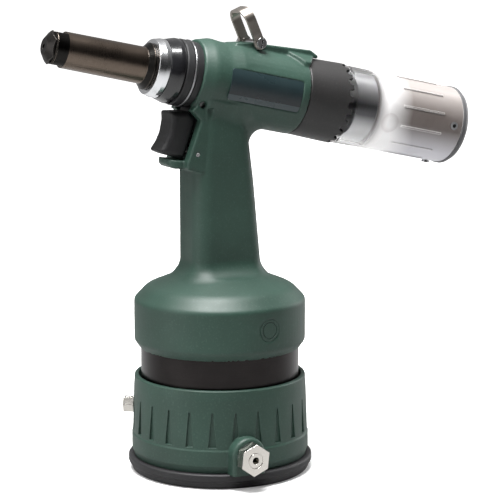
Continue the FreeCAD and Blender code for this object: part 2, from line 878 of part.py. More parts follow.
def body_shell():
    """Green moulded body: skirt, shoulder, handle, barrel, saddle and finger guard, hollowed."""
    outside = fuse(
        "body_outside",
        shoulder_solid(),
        handle_solid(),
        cheek_solid(),
        ledge_solid(),
        barrel_solid(),
        saddle_solid(),
    )
    cylinder_space = rod("cylinder_space", "dim.cylinder_r + 0.15", "30.1", ("0", "0", "dim.skirt_foot - 3"))
    flange_space = rod("flange_space", "30.2", "9", ("0", "0", "dim.cylinder_top + 3"))
    column_space = rod("column_space", "dim.column_r + 0.1", "140", ("0", "0", "100"))
    casting_space = barrel_rod(
        "casting_space", "dim.casting_r + 0.1", "-dim.barrel_rear - 5", "dim.casting_front + 0.1"
    )
    nose_space = barrel_rod("nose_space", "12.1", "0", "dim.barrel_front + 5")
    cap_space = barrel_rod("cap_space", "dim.casting_r + 1.3", "dim.barrel_front", "dim.barrel_front + 14")
    collar_space = barrel_rod(
        "collar_space", "dim.bottle_r + 0.6", "-dim.barrel_rear - 20", "-dim.barrel_rear - 0.05"
    )
    return cut(
        "body_shell",
        outside,
        cylinder_space,
        flange_space,
        column_space,
        casting_space,
        nose_space,
        cap_space,
        collar_space,
        *trigger_spaces(),
        *flank_recesses(),
        cross_rod("hanger_hole", "2.1", "40", hanger_point("0")),
    )


def trigger_spaces():
    """Cuts in the body for the trigger, its pins and the pilot valve."""
    cheeks = plate(
        "cheek_space",
        upright,
        "80",
        (
            ("-48", "197.6"),
            ("-37.9", "196.4"),
            ("-34", "195.3"),
            ("-28", "194.8"),
            ("-19.2", "218.9"),
            ("-24.4", "224.4"),
            ("-48", "224.4"),
        ),
    )
    well = plate(
        "trigger_well",
        upright,
        "dim.trigger_width + 0.6",
        (
            ("-48", "197.6"),
            ("-37.9", "196.4"),
            ("-34", "195.3"),
            ("-28", "194.8"),
            ("-22.6", "194.4"),
            ("-20.4", "206"),
            ("-15", "218"),
            ("-14.5", "226"),
            ("-24", "228"),
            ("-48", "228"),
        ),
    )
    lug_space = cross_rod("lug_space", "3.2", "13", PIVOT)
    lug_run = block("lug_run", "7.6", "13", "9", (f"{PIVOT_X} - 4.2", "-6.5", f"{PIVOT_Z} - 9"))
    pivot_hole = cross_rod("pivot_hole", "2", "80", PIVOT)
    stop_hole = cross_rod("stop_hole", "1.2", "80", STOP)
    valve_space = rod("valve_space", "4.6", "14", ("-21", "0", "dim.valve_height"), SIDEWAYS, "90")
    return cheeks, well, lug_space, lug_run, pivot_hole, stop_hole, valve_space


def hanger_point(side):
    """A point on the hanger's pivot axis."""
    return barrel_point("dim.hanger_up", side, "-dim.hanger_along")


def label_block(name, grow, depth):
    """Rounded block on the -Y flank of the barrel, grown by a margin, down to a depth."""
    body = doc.addObject("PartDesign::Body", name)
    sketch = sketch_on(body, name + "_outline", "XZ_Plane", "dim.barrel_r - 8")
    low = f"{LABEL_FOOT} - ({grow})"
    high = f"{LABEL_FOOT} + {LABEL_WIDTH} + ({grow})"
    back = f"3 - {LABEL_LENGTH} - ({grow})"
    front = f"3 + ({grow})"
    draw_outline(sketch, ((low, back), (high, back), (high, front), (low, front)))
    prism(body, sketch, name + "_pad", depth)
    along_barrel(body)
    doc.recompute()
    soften(body, "1.6", straight_out)
    return body


def straight_out(edge):
    """A test for the edges that run along local Y."""
    return isinstance(edge.Curve, Part.Line) and edge.BoundBox.XLength + edge.BoundBox.ZLength < 0.01


def flank_recesses():
    """Shallow recesses for the nameplate and the round plug."""
    core = barrel_rod("label_core", "dim.barrel_r - 1.1", "-60", "20")
    label = cut("label_space", label_block("label_space_block", "0.3", "12"), core)
    plug = emblem_rod("plug_space", "6.7", "dim.skirt_r - 1.2", "6")
    return label, plug


def emblem_rod(name, radius, start, length):
    """A bar square to the skirt at the round plug."""
    bar = primitive("Cylinder", name, Radius=radius, Height=length)
    return radial(bar, "dim.emblem_angle", start, "dim.emblem_height")


def nameplate():
    """Thin blank nameplate curved to the barrel."""
    skin = ring("label_skin", along_barrel, "dim.barrel_r - 1", "dim.barrel_r - 0.35", "-60", "20")
    return common("nameplate", label_block("nameplate_block", "0", "12"), skin)


def round_plug():
    """Blank round plug in the skirt."""
    face = emblem_rod("plug_disc", "6.6", "dim.skirt_r - 1.1", "0.9")
    groove_outer = emblem_rod("plug_groove_outer", "5.3", "dim.skirt_r - 0.6", "2")
    groove_inner = emblem_rod("plug_groove_inner", "4.6", "dim.skirt_r - 0.6", "2")
    return cut("round_plug", face, cut("plug_groove", groove_outer, groove_inner))


def hydraulic_body():
    """Cast body: oil column in the handle joined to the hydraulic cylinder in the barrel."""
    barrel = barrel_rod("casting_barrel", "dim.casting_r", "-dim.barrel_rear", "dim.casting_front")
    nose = barrel_rod("casting_nose", "12", "dim.casting_front - 1", "dim.barrel_front + 2")
    column = rod("casting_column", "dim.column_r", "122", ("0", "0", "dim.cylinder_top + 4.2"))
    flange = rod("casting_flange", "30", "7", ("0", "0", "dim.cylinder_top + 4.2"))
    oil_chamber = barrel_rod("oil_chamber", "dim.oil_bore", "-dim.barrel_rear - 1", "7.5")
    gland_seat = barrel_rod("gland_seat", "17.05", "-dim.barrel_rear - 1", "-36")
    rod_hole = barrel_rod("rod_hole", "dim.draw_rod_r + dim.slack", "0", "dim.barrel_front + 5")
    seal_seat = barrel_rod("front_seal_seat", "9.6", "7", "10.5")
    oil_way = rod("oil_way", "dim.ram_r + 1", "100", ("0", "0", "100"))
    port = rod("oil_port", "2", "37", ("-2", "0", "194"), SIDEWAYS, "-10")
    solid = fuse("casting_solid", barrel, nose, column, flange)
    return cut("hydraulic_body", solid, oil_chamber, gland_seat, rod_hole, seal_seat, oil_way, port)


# ---------------------------------------------------------------- draw mechanism


def draw_piston():
    """Draw piston with hollow front and rear rods and two seal grooves."""
    bore = "3"
    rod_r = "dim.draw_rod_r"
    head_r = "dim.oil_bore - 0.5"
    return turned(
        "draw_piston",
        along_barrel,
        (bore, "-58"),
        (rod_r, "-58"),
        (rod_r, "-7"),
        (head_r, "-7"),
        (head_r, "-5"),
        (f"{head_r} - 2.5", "-5"),
        (f"{head_r} - 2.5", "-1"),
        (head_r, "-1"),
        (head_r, "1"),
        (rod_r, "1"),
        (rod_r, "46"),
        (bore, "46"),
    )


def barrel_seal(name, inner, outer, low, high):
    """A seal ring with rounded edges."""
    seal = ring(name, along_barrel, inner, outer, low, high)
    soften(seal, "0.5", rim(outer, low), rim(outer, high))
    return seal


def rear_gland():
    """Rear gland screwed into the casting; its spigot carries the collar."""
    return turned(
        "rear_gland",
        along_barrel,
        ("dim.draw_rod_r + dim.slack", "-36"),
        ("17", "-36"),
        ("17", "-75"),
        ("9", "-75"),
        ("9", "-50"),
        ("dim.draw_rod_r + dim.slack", "-50"),
    )


def jaw_coupler():
    """Coupler that screws the jaw case onto the draw piston's front rod."""
    outer = "dim.sleeve_bore - 0.1"
    return turned(
        "jaw_coupler",
        along_barrel,
        ("dim.draw_rod_r + 0.02", "40"),
        (outer, "40"),
        (outer, "58"),
        ("6.5", "58"),
        ("6.5", "66"),
        ("5", "66"),
        ("5", "46.5"),
        ("dim.draw_rod_r + 0.02", "46.5"),
    )


def jaw_case():
    """Jaw case with an internal cone that closes towards the nose."""
    outer = "dim.sleeve_bore - 0.1"
    return turned(
        "jaw_case",
        along_barrel,
        ("6.55", "58.1"),
        (outer, "58.1"),
        (outer, "97"),
        ("2.6", "97"),
        ("2.6", "95.5"),
        ("3.4", "95.5"),
        ("6.2", "79"),
        ("6.55", "79"),
    )


def jaw(index):
    """One of three jaws: a 120 degree sector of a cone with a bore for the mandrel."""
    cone = turned(
        f"jaw_cone_{index}",
        along_barrel,
        ("1.5", "80"),
        ("5.85", "80"),
        ("3.47", "94"),
        ("1.5", "94"),
    )
    sector = doc.addObject("PartDesign::Body", f"jaw_sector_{index}")
    sketch = sketch_on(sector, f"jaw_sector_sketch_{index}", "XY_Plane", "78")
    middle = f"{index} * 360 / {JAWS}"
    half = "60"
    inset = "0.45 / sin(60)"
    corners = [(f"{inset} * cos({middle})", f"{inset} * sin({middle})")]
    for side in (f"{middle} - {half}", middle, f"{middle} + {half}"):
        x = f"{inset} * cos({middle}) + 14 * cos({side})"
        y = f"{inset} * sin({middle}) + 14 * sin({side})"
        corners.append((x, y))
    draw_outline(sketch, corners)
    prism(sector, sketch, f"jaw_sector_pad_{index}", "20")
    along_barrel(sector)
    doc.recompute()
    return common(f"jaw_{index + 1}", cone, sector)


def jaw_pusher():
    """Pusher that presses the jaws forward in their cone."""
    return turned(
        "jaw_pusher",
        along_barrel,
        ("2", "62"),
        ("2.9", "62"),
        ("2.9", "70"),
        ("5.6", "70"),
        ("5.6", "76"),
        ("2.6", "79.9"),
        ("2", "79.9"),
    )


# ---------------------------------------------------------------- nose


def front_cap():
    """Black cap on the front of the barrel, with a groove for the wire ring."""
    cap = turned(
        "front_cap",
        along_barrel,
        ("12.15", "dim.barrel_front + 0.05"),
        ("19.9", "dim.barrel_front + 0.05"),
        ("20.2", "24.2"),
        ("19.3", "24.2"),
        ("19.3", "26.2"),
        ("20.2", "26.2"),
        ("20.2", "31"),
        ("12.15", "31"),
    )
    soften(cap, "0.8", rim("20.2", "31"))
    return cap


def wire_ring():
    """Steel wire ring in the front cap's groove."""
    wire = primitive("Torus", "wire_ring", Radius1="20.0", Radius2="0.62")
    return put(wire, barrel_point("0", "0", "25.2"), SIDEWAYS, "dim.tilt - 90")


def lock_nut():
    """Glossy black nut in front of the cap."""
    nut = turned(
        "lock_nut",
        along_barrel,
        ("12.15", "31.1"),
        ("19.3", "31.1"),
        ("19.9", "32.2"),
        ("19.9", "34.5"),
        ("18.1", "40.4"),
        ("12.15", "40.4"),
    )
    soften(nut, "2", rim("19.9", "34.5"))
    return nut


def lock_ring():
    """Bright aluminium lock ring."""
    lock = turned(
        "lock_ring",
        along_barrel,
        ("12.15", "40.5"),
        ("17.9", "40.5"),
        ("17.9", "43.4"),
        ("16.8", "47.7"),
        ("12.15", "47.7"),
    )
    soften(lock, "0.6", rim("17.9", "40.5"), rim("16.8", "47.7"))
    return lock


def nose_sleeve():
    """Nose sleeve: threaded root, shoulder flange, long tube with two wrench flats."""
    tube = turned(
        "sleeve_turned",
        along_barrel,
        ("dim.sleeve_bore", "22.5"),
        ("12.05", "22.5"),
        ("12.05", "48"),
        ("14.2", "48"),
        ("14.2", "49.6"),
        ("dim.sleeve_r + 0.3", "52.5"),
        ("dim.sleeve_r - 0.1", "dim.sleeve_front"),
        ("6.05", "dim.sleeve_front"),
        ("6.05", "98.6"),
        ("dim.sleeve_bore", "98.6"),
    )
    soften(tube, "0.7", rim("dim.sleeve_r - 0.1", "dim.sleeve_front"), kind="Chamfer")
    flats = []
    for side in (-1, 1):
        offset = f"{side} * (9.6 + 4)"
        x, y, z = barrel_point(f"{offset} - 4", "-14", "103")
        flats.append(block(f"sleeve_flat_{side + 1}", "8", "28", "9", (x, y, z), SIDEWAYS, "dim.tilt - 90"))
    return cut("nose_sleeve", tube, *flats)


def nosepiece():
    """Hardened nosepiece: threaded shank, hexagonal head, mandrel bore with a countersunk mouth."""
    shank = barrel_rod("tip_shank", "6", "98.8", "dim.sleeve_front + 1")
    head = hexagon_bar(
        "tip_hexagon",
        "17.8",
        "dim.tip_front - dim.sleeve_front - 0.1",
        barrel_point("0", "0", "dim.sleeve_front + 0.1"),
        SIDEWAYS,
        "dim.tilt - 90",
    )
    cone = turned(
        "tip_cone",
        along_barrel,
        ("0", "90"),
        ("10.1", "90"),
        ("10.1", "dim.sleeve_front + 0.6"),
        ("5", "dim.tip_front"),
        ("0", "dim.tip_front"),
    )
    bore = barrel_rod("tip_bore", "dim.mandrel_bore", "90", "dim.tip_front + 5")
    lead = turned(
        "tip_lead",
        along_barrel,
        ("0", "90"),
        ("3.4", "90"),
        ("3.4", "99.4"),
        ("dim.mandrel_bore", "103"),
        ("0", "103"),
    )
    return cut("nosepiece", common("tip_solid", fuse("tip_joined", shank, head), cone), bore, lead)


# ---------------------------------------------------------------- trigger and pilot valve


def trigger():
    """Trigger: concave rounded front, lower lip, pivot lug at the top."""
    outline = (
        ("-35.7", "224.3"),
        ("-35.5", "218.8"),
        ("-37", "211.2"),
        ("-39.6", "205.8"),
        ("-43.5", "200.6"),
        ("-38.4", "198.4"),
        ("-34", "197.3"),
        ("-27", "196.2"),
        ("-18.6", "219"),
        ("-24", "224.1"),
    )
    grip = plate("trigger_grip", upright, "dim.trigger_width", outline)
    soften(grip, "1.2", across("-43.5", "200.6"), across("-35.7", "224.3"), across("-18.6", "219"))
    soften(grip, "9", across("-35.5", "218.8"), across("-37", "211.2"), across("-39.6", "205.8"))
    soften(grip, "3.2", flank)
    lug_round = cross_rod("trigger_lug", "2.9", "12", PIVOT)
    web = plate(
        "trigger_web",
        upright,
        "12",
        (
            ("-25", "221"),
            ("-20.3", "217"),
            (f"{PIVOT_X} + 2.4", f"{PIVOT_Z} - 1.6"),
            (f"{PIVOT_X} - 2.8", f"{PIVOT_Z} + 0.7"),
        ),
    )
    hole = cross_rod("trigger_hole", "2.03", "40", PIVOT)
    return cut("trigger", fuse("trigger_solid", grip, lug_round, web), hole)


def valve_rod(name, radius, start, end):
    """A bar along X on the pilot valve's axis, between two stations."""
    return rod(name, radius, f"({end}) - ({start})", (start, "0", "dim.valve_height"), SIDEWAYS, "90")


def pilot_valve_body():
    """Pilot valve bushing pressed into the handle behind the trigger."""
    outside = valve_rod("valve_outside", "4.5", "-19.4", "-dim.column_r - 0.2")
    stem_hole = valve_rod("valve_stem_hole", "1.55", "-21", "-16")
    spring_room = valve_rod("valve_spring_room", "2.6", "-17.9", "-11.6")
    return cut("pilot_valve_body", outside, stem_hole, spring_room)


def pilot_valve_stem():
    """Pilot valve stem that the trigger pushes."""
    stem = valve_rod("stem_rod", "1.5", "-22.7", "-16.8")
    head = valve_rod("stem_head", "2.5", "-17.8", "-16.8")
    return fuse("pilot_valve_stem", stem, head)


def pilot_valve_spring():
    """Light spring that holds the pilot valve stem out against the trigger."""
    seat = placed(("-16.7", "0", "dim.valve_height"), SIDEWAYS, "90")
    return coil("pilot_valve_spring", seat, "1.9", "0.3", "0", "5", 3)


# ---------------------------------------------------------------- hanger


def hanger():
    """Steel strip bent into a U over the saddle, with an eye at each end."""
    half = "dim.hanger_half"
    thick = "1.8"
    width = "6.2"
    reach = "dim.hanger_reach"
    strip = doc.addObject("PartDesign::Body", "hanger_strip")
    sketch = sketch_on(strip, "hanger_bend", "YZ_Plane", f"-{width} / 2")
    draw_outline(
        sketch,
        (
            (f"-{half}", "0"),
            (f"-{half}", reach),
            (half, reach),
            (half, "0"),
            (f"{half} - {thick}", "0"),
            (f"{half} - {thick}", f"{reach} - {thick}"),
            (f"-({half} - {thick})", f"{reach} - {thick}"),
            (f"-({half} - {thick})", "0"),
        ),
    )
    prism(strip, sketch, "hanger_pad", width)
    outer_bends = (along_strip(f"-{half}", reach), along_strip(half, reach))
    inner_bends = (
        along_strip(f"{half} - {thick}", f"{reach} - {thick}"),
        along_strip(f"-({half} - {thick})", f"{reach} - {thick}"),
    )
    soften(strip, "8", *outer_bends)
    soften(strip, "6.2", *inner_bends)
    lean(strip)
    eye = cross_rod("hanger_eye", "4", f"2 * {half}", hanger_point("0"))
    gap = cross_rod("hanger_gap", "7", f"2 * ({half} - {thick})", hanger_point("0"))
    hole = cross_rod("hanger_eye_hole", "2.08", "40", hanger_point("0"))
    doc.recompute()
    return cut("hanger", fuse("hanger_solid", strip, cut("hanger_eyes", eye, gap)), hole)


def lean(item):
    """Put an item's local Z up the hanger from its pivot."""
    put(item, hanger_point("0"), SIDEWAYS, "dim.tilt - dim.hanger_lean")


def along_strip(y, z):
    """A test for a straight edge along local X through a point."""
    wanted_y = value_of(y)
    wanted_z = value_of(z)

    def matches(edge):
        box = edge.BoundBox
        return box.XLength > 1 and abs(box.YMin - wanted_y) < 0.02 and abs(box.ZMin - wanted_z) < 0.02

    return matches


def hanger_screw():
    """Chrome pivot screw with a domed, slotted head."""
    shank = cross_rod("hanger_shank", "2", "26.5", hanger_point("1.75"))
    head = cross_rod("hanger_head", "3.2", "2.4", hanger_point("-dim.hanger_half - 1.25"))
    slot = block(
        "hanger_slot",
        "10",
        "0.9",
        "0.9",
        barrel_point("dim.hanger_up - 5", "-dim.hanger_half - 2.55", "-dim.hanger_along - 0.45"),
        SIDEWAYS,
        "dim.tilt - 90",
    )
    return cut("hanger_screw", fuse("hanger_screw_solid", shank, head), slot)


def hanger_nut():
    """Nut on the far end of the pivot screw."""
    x, side, z = hanger_point("dim.hanger_half + 3.15")
    outside = hexagon_bar("hanger_nut_hexagon", "7", "3.1", (x, side, z), FORWARD, "90")
    hole = cross_rod("hanger_nut_hole", "2.02", "40", hanger_point("0"))
    return cut("hanger_nut", outside, hole)


# ---------------------------------------------------------------- mandrel collector


def adapter_collar():
    """Black collar that turns on the rear gland, with a toothed rear edge."""
    collar = turned(
        "adapter_collar",
        along_barrel,
        ("17.05", "-dim.barrel_rear - 0.3"),
        ("dim.barrel_r - 0.3", "-dim.barrel_rear - 0.3"),
        ("dim.bottle_r + 0.2", "-dim.collar_rear"),
        ("dim.bottle_r - 2.1", "-dim.collar_rear"),
        ("dim.bottle_r - 2.1", "-dim.collar_rear + 5"),
        ("17.05", "-dim.collar_rear + 5"),
    )
    soften(collar, "0.8", rim("dim.barrel_r - 0.3", "-dim.barrel_rear - 0.3"))
    notch = sketch_on(collar, "collar_notch", "YZ_Plane")
    draw_circle(notch, "2.4", "0", "-dim.collar_rear + 0.9")
    scallop = pocket(collar, notch, "collar_scallop", "dim.bottle_r + 5", reverse=True)
    repeat_round(collar, scallop, "collar_scallops", "dim.collar_teeth")
    return collar


def mandrel_tube():
    """Steel tube that leads spent mandrels from the draw piston into the bottle."""
    return turned(
        "mandrel_tube",
        along_barrel,
        ("7.3", "-88"),
        ("8.95", "-88"),
        ("8.95", "-51"),
        ("7.3", "-51"),
    )


def bottle():
    """Clear collector bottle with a neck and lengthwise ribs."""
    shell = turned(
        "bottle_turned",
        along_barrel,
        ("20.5", "-dim.collar_rear + 4.8"),
        ("dim.bottle_r - 2.2", "-dim.collar_rear + 4.8"),
        ("dim.bottle_r - 2.2", "-dim.collar_rear - 2.4"),
        ("dim.bottle_r - 0.5", "-dim.collar_rear - 2.4"),
        ("dim.bottle_r - 0.5", "-dim.bottle_rear"),
        ("dim.bottle_r - 2.6", "-dim.bottle_rear"),
        ("dim.bottle_r - 2.6", "-dim.collar_rear - 4.4"),
        ("20.5", "-dim.collar_rear - 4.4"),
    )
    soften(shell, "1", rim("dim.bottle_r - 0.5", "-dim.collar_rear - 2.4"))
    rib = sketch_on(shell, "bottle_rib", "XY_Plane", "-dim.bottle_rear + 14.5")
    root = "dim.bottle_r - 1.2"
    crest = "dim.bottle_r + 0.2"
    corners = []
    for radius, half in ((root, "-0.8"), (crest, "-0.5"), (crest, "0.5"), (root, "0.8")):
        x = f"({radius}) * cos(15) - ({half}) * sin(15)"
        y = f"({radius}) * sin(15) + ({half}) * cos(15)"
        corners.append((x, y))
    draw_outline(rib, corners)
    bar = prism(shell, rib, "bottle_rib_pad", "30")
    repeat_round(shell, bar, "bottle_ribs", "12")
    holes = []
    for index in range(CAP_SCREWS):
        holes.append(cap_screw_rod(f"bottle_hole_{index}", index, "1.6", "dim.bottle_r - 5", "8"))
    return cut("bottle", shell, *holes)


def bottle_insert():
    """Steel cup inside the front of the bottle that catches the mandrels."""
    return turned(
        "bottle_insert",
        along_barrel,
        ("9.2", "-dim.collar_rear - 4.6"),
        ("21.6", "-dim.collar_rear - 4.6"),
        ("21.6", "-100.5"),
        ("20.8", "-100.5"),
        ("20.8", "-dim.collar_rear - 5.6"),
        ("9.2", "-dim.collar_rear - 5.6"),
    )


def bottle_end_cap():
    """End cap of the bottle: a plug inside the wall and a chamfered rim."""
    cap = turned(
        "end_cap_turned",
        along_barrel,
        ("0", "-dim.cap_rear + 1.5"),
        ("19", "-dim.cap_rear + 1.5"),
        ("19", "-dim.cap_rear"),
        ("dim.bottle_r - 1.6", "-dim.cap_rear"),
        ("dim.bottle_r", "-dim.cap_rear + 2.4"),
        ("dim.bottle_r", "-dim.bottle_rear - 0.1"),
        ("dim.bottle_r - 2.7", "-dim.bottle_rear - 0.1"),
        ("dim.bottle_r - 2.7", "-dim.bottle_rear + 11"),
        ("dim.bottle_r - 6.5", "-dim.bottle_rear + 11"),
        ("dim.bottle_r - 6.5", "-dim.bottle_rear - 1"),
        ("0", "-dim.bottle_rear - 1"),
    )
    vents = []
    for index in range(6):
        angle = f"{index} * 60"
        up = f"12 * cos({angle})"
        side = f"12 * sin({angle})"
        vents.append(barrel_rod(f"vent_{index}", "1.6", "-dim.cap_rear - 2", "-dim.bottle_rear", up, side))
    holes = []
    for index in range(CAP_SCREWS):
        holes.append(cap_screw_rod(f"cap_hole_{index}", index, "1.55", "dim.bottle_r - 7", "10"))
    return cut("bottle_end_cap", cap, *vents, *holes)


def cap_screw_rod(name, index, radius, start, length):
    """A radial bar through the end cap's plug; the first points to -Y, the next down, the last to +Y."""
    turn = f"-90 - {index} * 90"
    angle = value_of(turn)
    up = f"({start}) * cos({turn})"
    side = f"({start}) * sin({turn})"
    place = [value_of(formula) for formula in barrel_point(up, side, CAP_SCREW_ALONG)]
    tilt = FreeCAD.Rotation(SIDEWAYS, value_of("dim.tilt") - 90)
    spin = FreeCAD.Rotation(UPWARD, angle)
    tip_over = FreeCAD.Rotation(SIDEWAYS, 90)
    item = primitive("Cylinder", name, Radius=radius, Height=length)
    item.Placement = FreeCAD.Placement(FreeCAD.Vector(*place), tilt * spin * tip_over)
    return item


def bottle_screws():
    """Radial screws that hold the end cap."""
    screws = []
    for index in range(CAP_SCREWS):
        shank = cap_screw_rod(f"cap_shank_{index}", index, "1.5", "dim.bottle_r - 5.5", "6")
        head = cap_screw_rod(f"cap_head_{index}", index, "2.6", "dim.bottle_r - 0.35", "1.4")
        screws.append(fuse(f"bottle_screw_{index}", shank, head))
    return group("bottle_screws", *screws)


# ---------------------------------------------------------------- assembly

node(base_ring(), "base_ring")
node(base_plate(), "base_plate")
node(base_screws(), "base_screws")
node(ring("silencer", upright, "8.2", "27.8", "dim.foot_top + 0.1", "12.5"), "silencer")
node(base_housing(), "base_housing")
node(air_inlet_fitting(), "air_inlet_fitting")
node(inlet_washer(), "inlet_washer")
node(relief_valve_body(), "relief_valve_body")
node(relief_poppet(), "relief_poppet")
node(
    coil("relief_spring", relief_seat, "1.9", "0.3", "0", "4.7", 5),
    "relief_spring",
)
node(cylinder_base(), "cylinder_base")
node(main_valve_spool(), "main_valve_spool")
node(
    coil("main_valve_spring", placed(("5.1", "12", "18.4"), SIDEWAYS, "90"), "2.1", "0.5", "0", "14.6", 6),
    "main_valve_spring",
)
node(air_cylinder(), "air_cylinder")
node(air_piston(), "air_piston")
node(
    ring(
        "piston_seal",
        upright,
        "dim.cylinder_bore - 3.9",
        "dim.cylinder_bore - dim.slack",
        "dim.air_piston_foot + 4.1",
        "dim.air_piston_foot + 7.9",
    ),
    "piston_seal",
)
node(piston_nut(), "piston_nut")
node(ram(), "ram")
node(cylinder_head(), "cylinder_head")
node(ram_gland(), "ram_gland")
node(ram_seal(), "ram_seal")
node(hydraulic_body(), "hydraulic_body")
node(body_shell(), "body_shell")
node(nameplate(), "nameplate")
node(round_plug(), "round_plug")
node(draw_piston(), "draw_piston")
node(
    barrel_seal("draw_piston_seal", "dim.oil_bore - 2.9", "dim.oil_bore - dim.slack", "-4.9", "-1.1"),
    "draw_piston_seal",
)
node(barrel_seal("front_rod_seal", "dim.draw_rod_r + dim.slack", "9.5", "7.6", "10.4"), "front_rod_seal")
node(coil("draw_return_spring", along_barrel, "11", "1.3", "-35.8", "-7.2", 4), "draw_return_spring")
node(rear_gland(), "rear_gland")
node(jaw_coupler(), "jaw_coupler")
node(jaw_case(), "jaw_case")
for index in range(JAWS):
    node(jaw(index), f"jaw_{index + 1}")
node(jaw_pusher(), "jaw_pusher")
node(coil("pusher_spring", along_barrel, "4", "0.6", "46.7", "69.8", 7), "pusher_spring")
node(front_cap(), "front_cap")
node(wire_ring(), "wire_ring")
node(lock_nut(), "lock_nut")
node(lock_ring(), "lock_ring")
node(nose_sleeve(), "nose_sleeve")
node(nosepiece(), "nosepiece")
node(trigger(), "trigger")
node(cross_rod("trigger_pin", "1.98", "27", PIVOT), "trigger_pin")
node(cross_rod("stop_pin", "1.15", "33", STOP), "stop_pin")
node(pilot_valve_body(), "pilot_valve_body")
node(pilot_valve_stem(), "pilot_valve_stem")
node(pilot_valve_spring(), "pilot_valve_spring")
node(hanger(), "hanger")
node(hanger_screw(), "hanger_screw")
node(hanger_nut(), "hanger_nut")
node(adapter_collar(), "adapter_collar")
node(mandrel_tube(), "mandrel_tube")
node(bottle(), "bottle")
node(bottle_insert(), "bottle_insert")
node(bottle_end_cap(), "bottle_end_cap")
node(bottle_screws(), "bottle_screws")

doc.recompute()

# ---------------------------------------------------------------- checks and files

for item in doc.Objects:
    if "Invalid" in item.State or "Error" in item.State:
        raise RuntimeError(f"{item.Label} did not compute: {item.State}")

os.makedirs("parts", exist_ok=True)
for item in nodes:
    shape = item.Shape
    if shape.isNull() or not shape.isValid() or not shape.Solids:
        raise RuntimeError(item.Label + " has no valid solid")
    shape.exportStep(f"parts/{item.Label}.step")
print(len(nodes), "sub-parts")
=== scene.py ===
"""Pneumatic rivet gun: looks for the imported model, in a plain studio."""
import json
import math

import bmesh
import bpy
import numpy as np
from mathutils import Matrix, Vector

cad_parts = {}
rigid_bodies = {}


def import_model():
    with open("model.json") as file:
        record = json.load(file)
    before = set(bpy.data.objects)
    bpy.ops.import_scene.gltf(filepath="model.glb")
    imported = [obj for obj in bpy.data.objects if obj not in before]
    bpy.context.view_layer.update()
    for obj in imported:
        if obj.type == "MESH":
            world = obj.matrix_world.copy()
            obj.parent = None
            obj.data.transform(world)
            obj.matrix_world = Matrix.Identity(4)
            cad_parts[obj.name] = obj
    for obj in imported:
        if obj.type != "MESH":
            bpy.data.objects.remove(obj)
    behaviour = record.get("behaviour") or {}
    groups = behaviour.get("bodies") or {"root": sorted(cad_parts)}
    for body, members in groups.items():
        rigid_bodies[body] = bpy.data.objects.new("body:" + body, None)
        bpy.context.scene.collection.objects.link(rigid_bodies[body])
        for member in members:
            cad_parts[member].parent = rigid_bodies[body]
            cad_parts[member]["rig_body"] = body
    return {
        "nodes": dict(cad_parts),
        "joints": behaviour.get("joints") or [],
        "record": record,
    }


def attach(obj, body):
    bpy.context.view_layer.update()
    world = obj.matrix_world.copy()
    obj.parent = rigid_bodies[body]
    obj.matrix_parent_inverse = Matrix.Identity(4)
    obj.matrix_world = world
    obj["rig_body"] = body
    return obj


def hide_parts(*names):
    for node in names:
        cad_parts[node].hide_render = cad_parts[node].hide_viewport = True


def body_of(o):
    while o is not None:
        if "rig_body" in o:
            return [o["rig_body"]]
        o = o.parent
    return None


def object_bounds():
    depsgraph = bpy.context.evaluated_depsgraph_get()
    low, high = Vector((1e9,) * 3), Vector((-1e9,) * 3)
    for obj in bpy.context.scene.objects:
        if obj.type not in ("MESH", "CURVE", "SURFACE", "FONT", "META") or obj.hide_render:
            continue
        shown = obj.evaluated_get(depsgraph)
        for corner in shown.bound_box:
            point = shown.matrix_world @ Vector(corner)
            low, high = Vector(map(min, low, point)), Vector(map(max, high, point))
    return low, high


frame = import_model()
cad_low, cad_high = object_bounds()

MM = 0.001
NODES = frame["nodes"]
JOINTS = {joint["name"]: joint for joint in frame["joints"]}

# ---------------------------------------------------------------- the barrel frame, from the joints

REARWARD = Vector(JOINTS["draw_stroke"]["axis"]).normalized()
NOSEWARD = -REARWARD
SIDE = Vector((0.0, 1.0, 0.0))
BARREL_UP = SIDE.cross(NOSEWARD).normalized()
COLLAR_POINT = Vector(JOINTS["collar_turn"]["pos_m"])
# where the barrel axis crosses the handle axis
BARREL_ORIGIN = COLLAR_POINT - NOSEWARD * (COLLAR_POINT.x / NOSEWARD.x)


def barrel_point(up, side, along):
    """A point given in millimetres up from, beside and along the barrel axis."""
    return BARREL_ORIGIN + (BARREL_UP * up + SIDE * side + NOSEWARD * along) * MM


# ---------------------------------------------------------------- shader helpers


def add(tree, kind, settings=None, **inputs):
    """A shader node; an input is a value or another node's socket. i0, i1 name inputs by number."""
    node = tree.nodes.new("ShaderNode" + kind)
    for name, value in (settings or {}).items():
        setattr(node, name, value)
    for name, value in inputs.items():
        socket = node.inputs[int(name[1:])] if name[1:].isdigit() else node.inputs[name.replace("_", " ")]
        if isinstance(value, bpy.types.NodeSocket):
            tree.links.new(value, socket)
        else:
            socket.default_value = value
    return node


def maths(tree, operation, first, second=0.0, clamp=False):
    """One arithmetic step."""
    node = add(tree, "Math", {"operation": operation, "use_clamp": clamp}, i0=first, i1=second)
    return node.outputs[0]


def ramp(tree, factor, low, high):
    """Factor stretched so that low gives 0 and high gives 1, clamped."""
    node = add(tree, "MapRange", {"clamp": True}, Value=factor, From_Min=low, From_Max=high)
    return node.outputs[0]


def blend_colour(tree, factor, first, second, mode="MIX"):
    """Two colours mixed by a factor."""
    node = tree.nodes.new("ShaderNodeMix")
    node.data_type = "RGBA"
    node.blend_type = mode
    for socket, value in ((node.inputs[0], factor), (node.inputs[6], first), (node.inputs[7], second)):
        if isinstance(value, bpy.types.NodeSocket):
            tree.links.new(value, socket)
        elif isinstance(value, (int, float)):
            socket.default_value = value
        else:
            socket.default_value = (*value[:3], 1.0)
    return node.outputs[2]


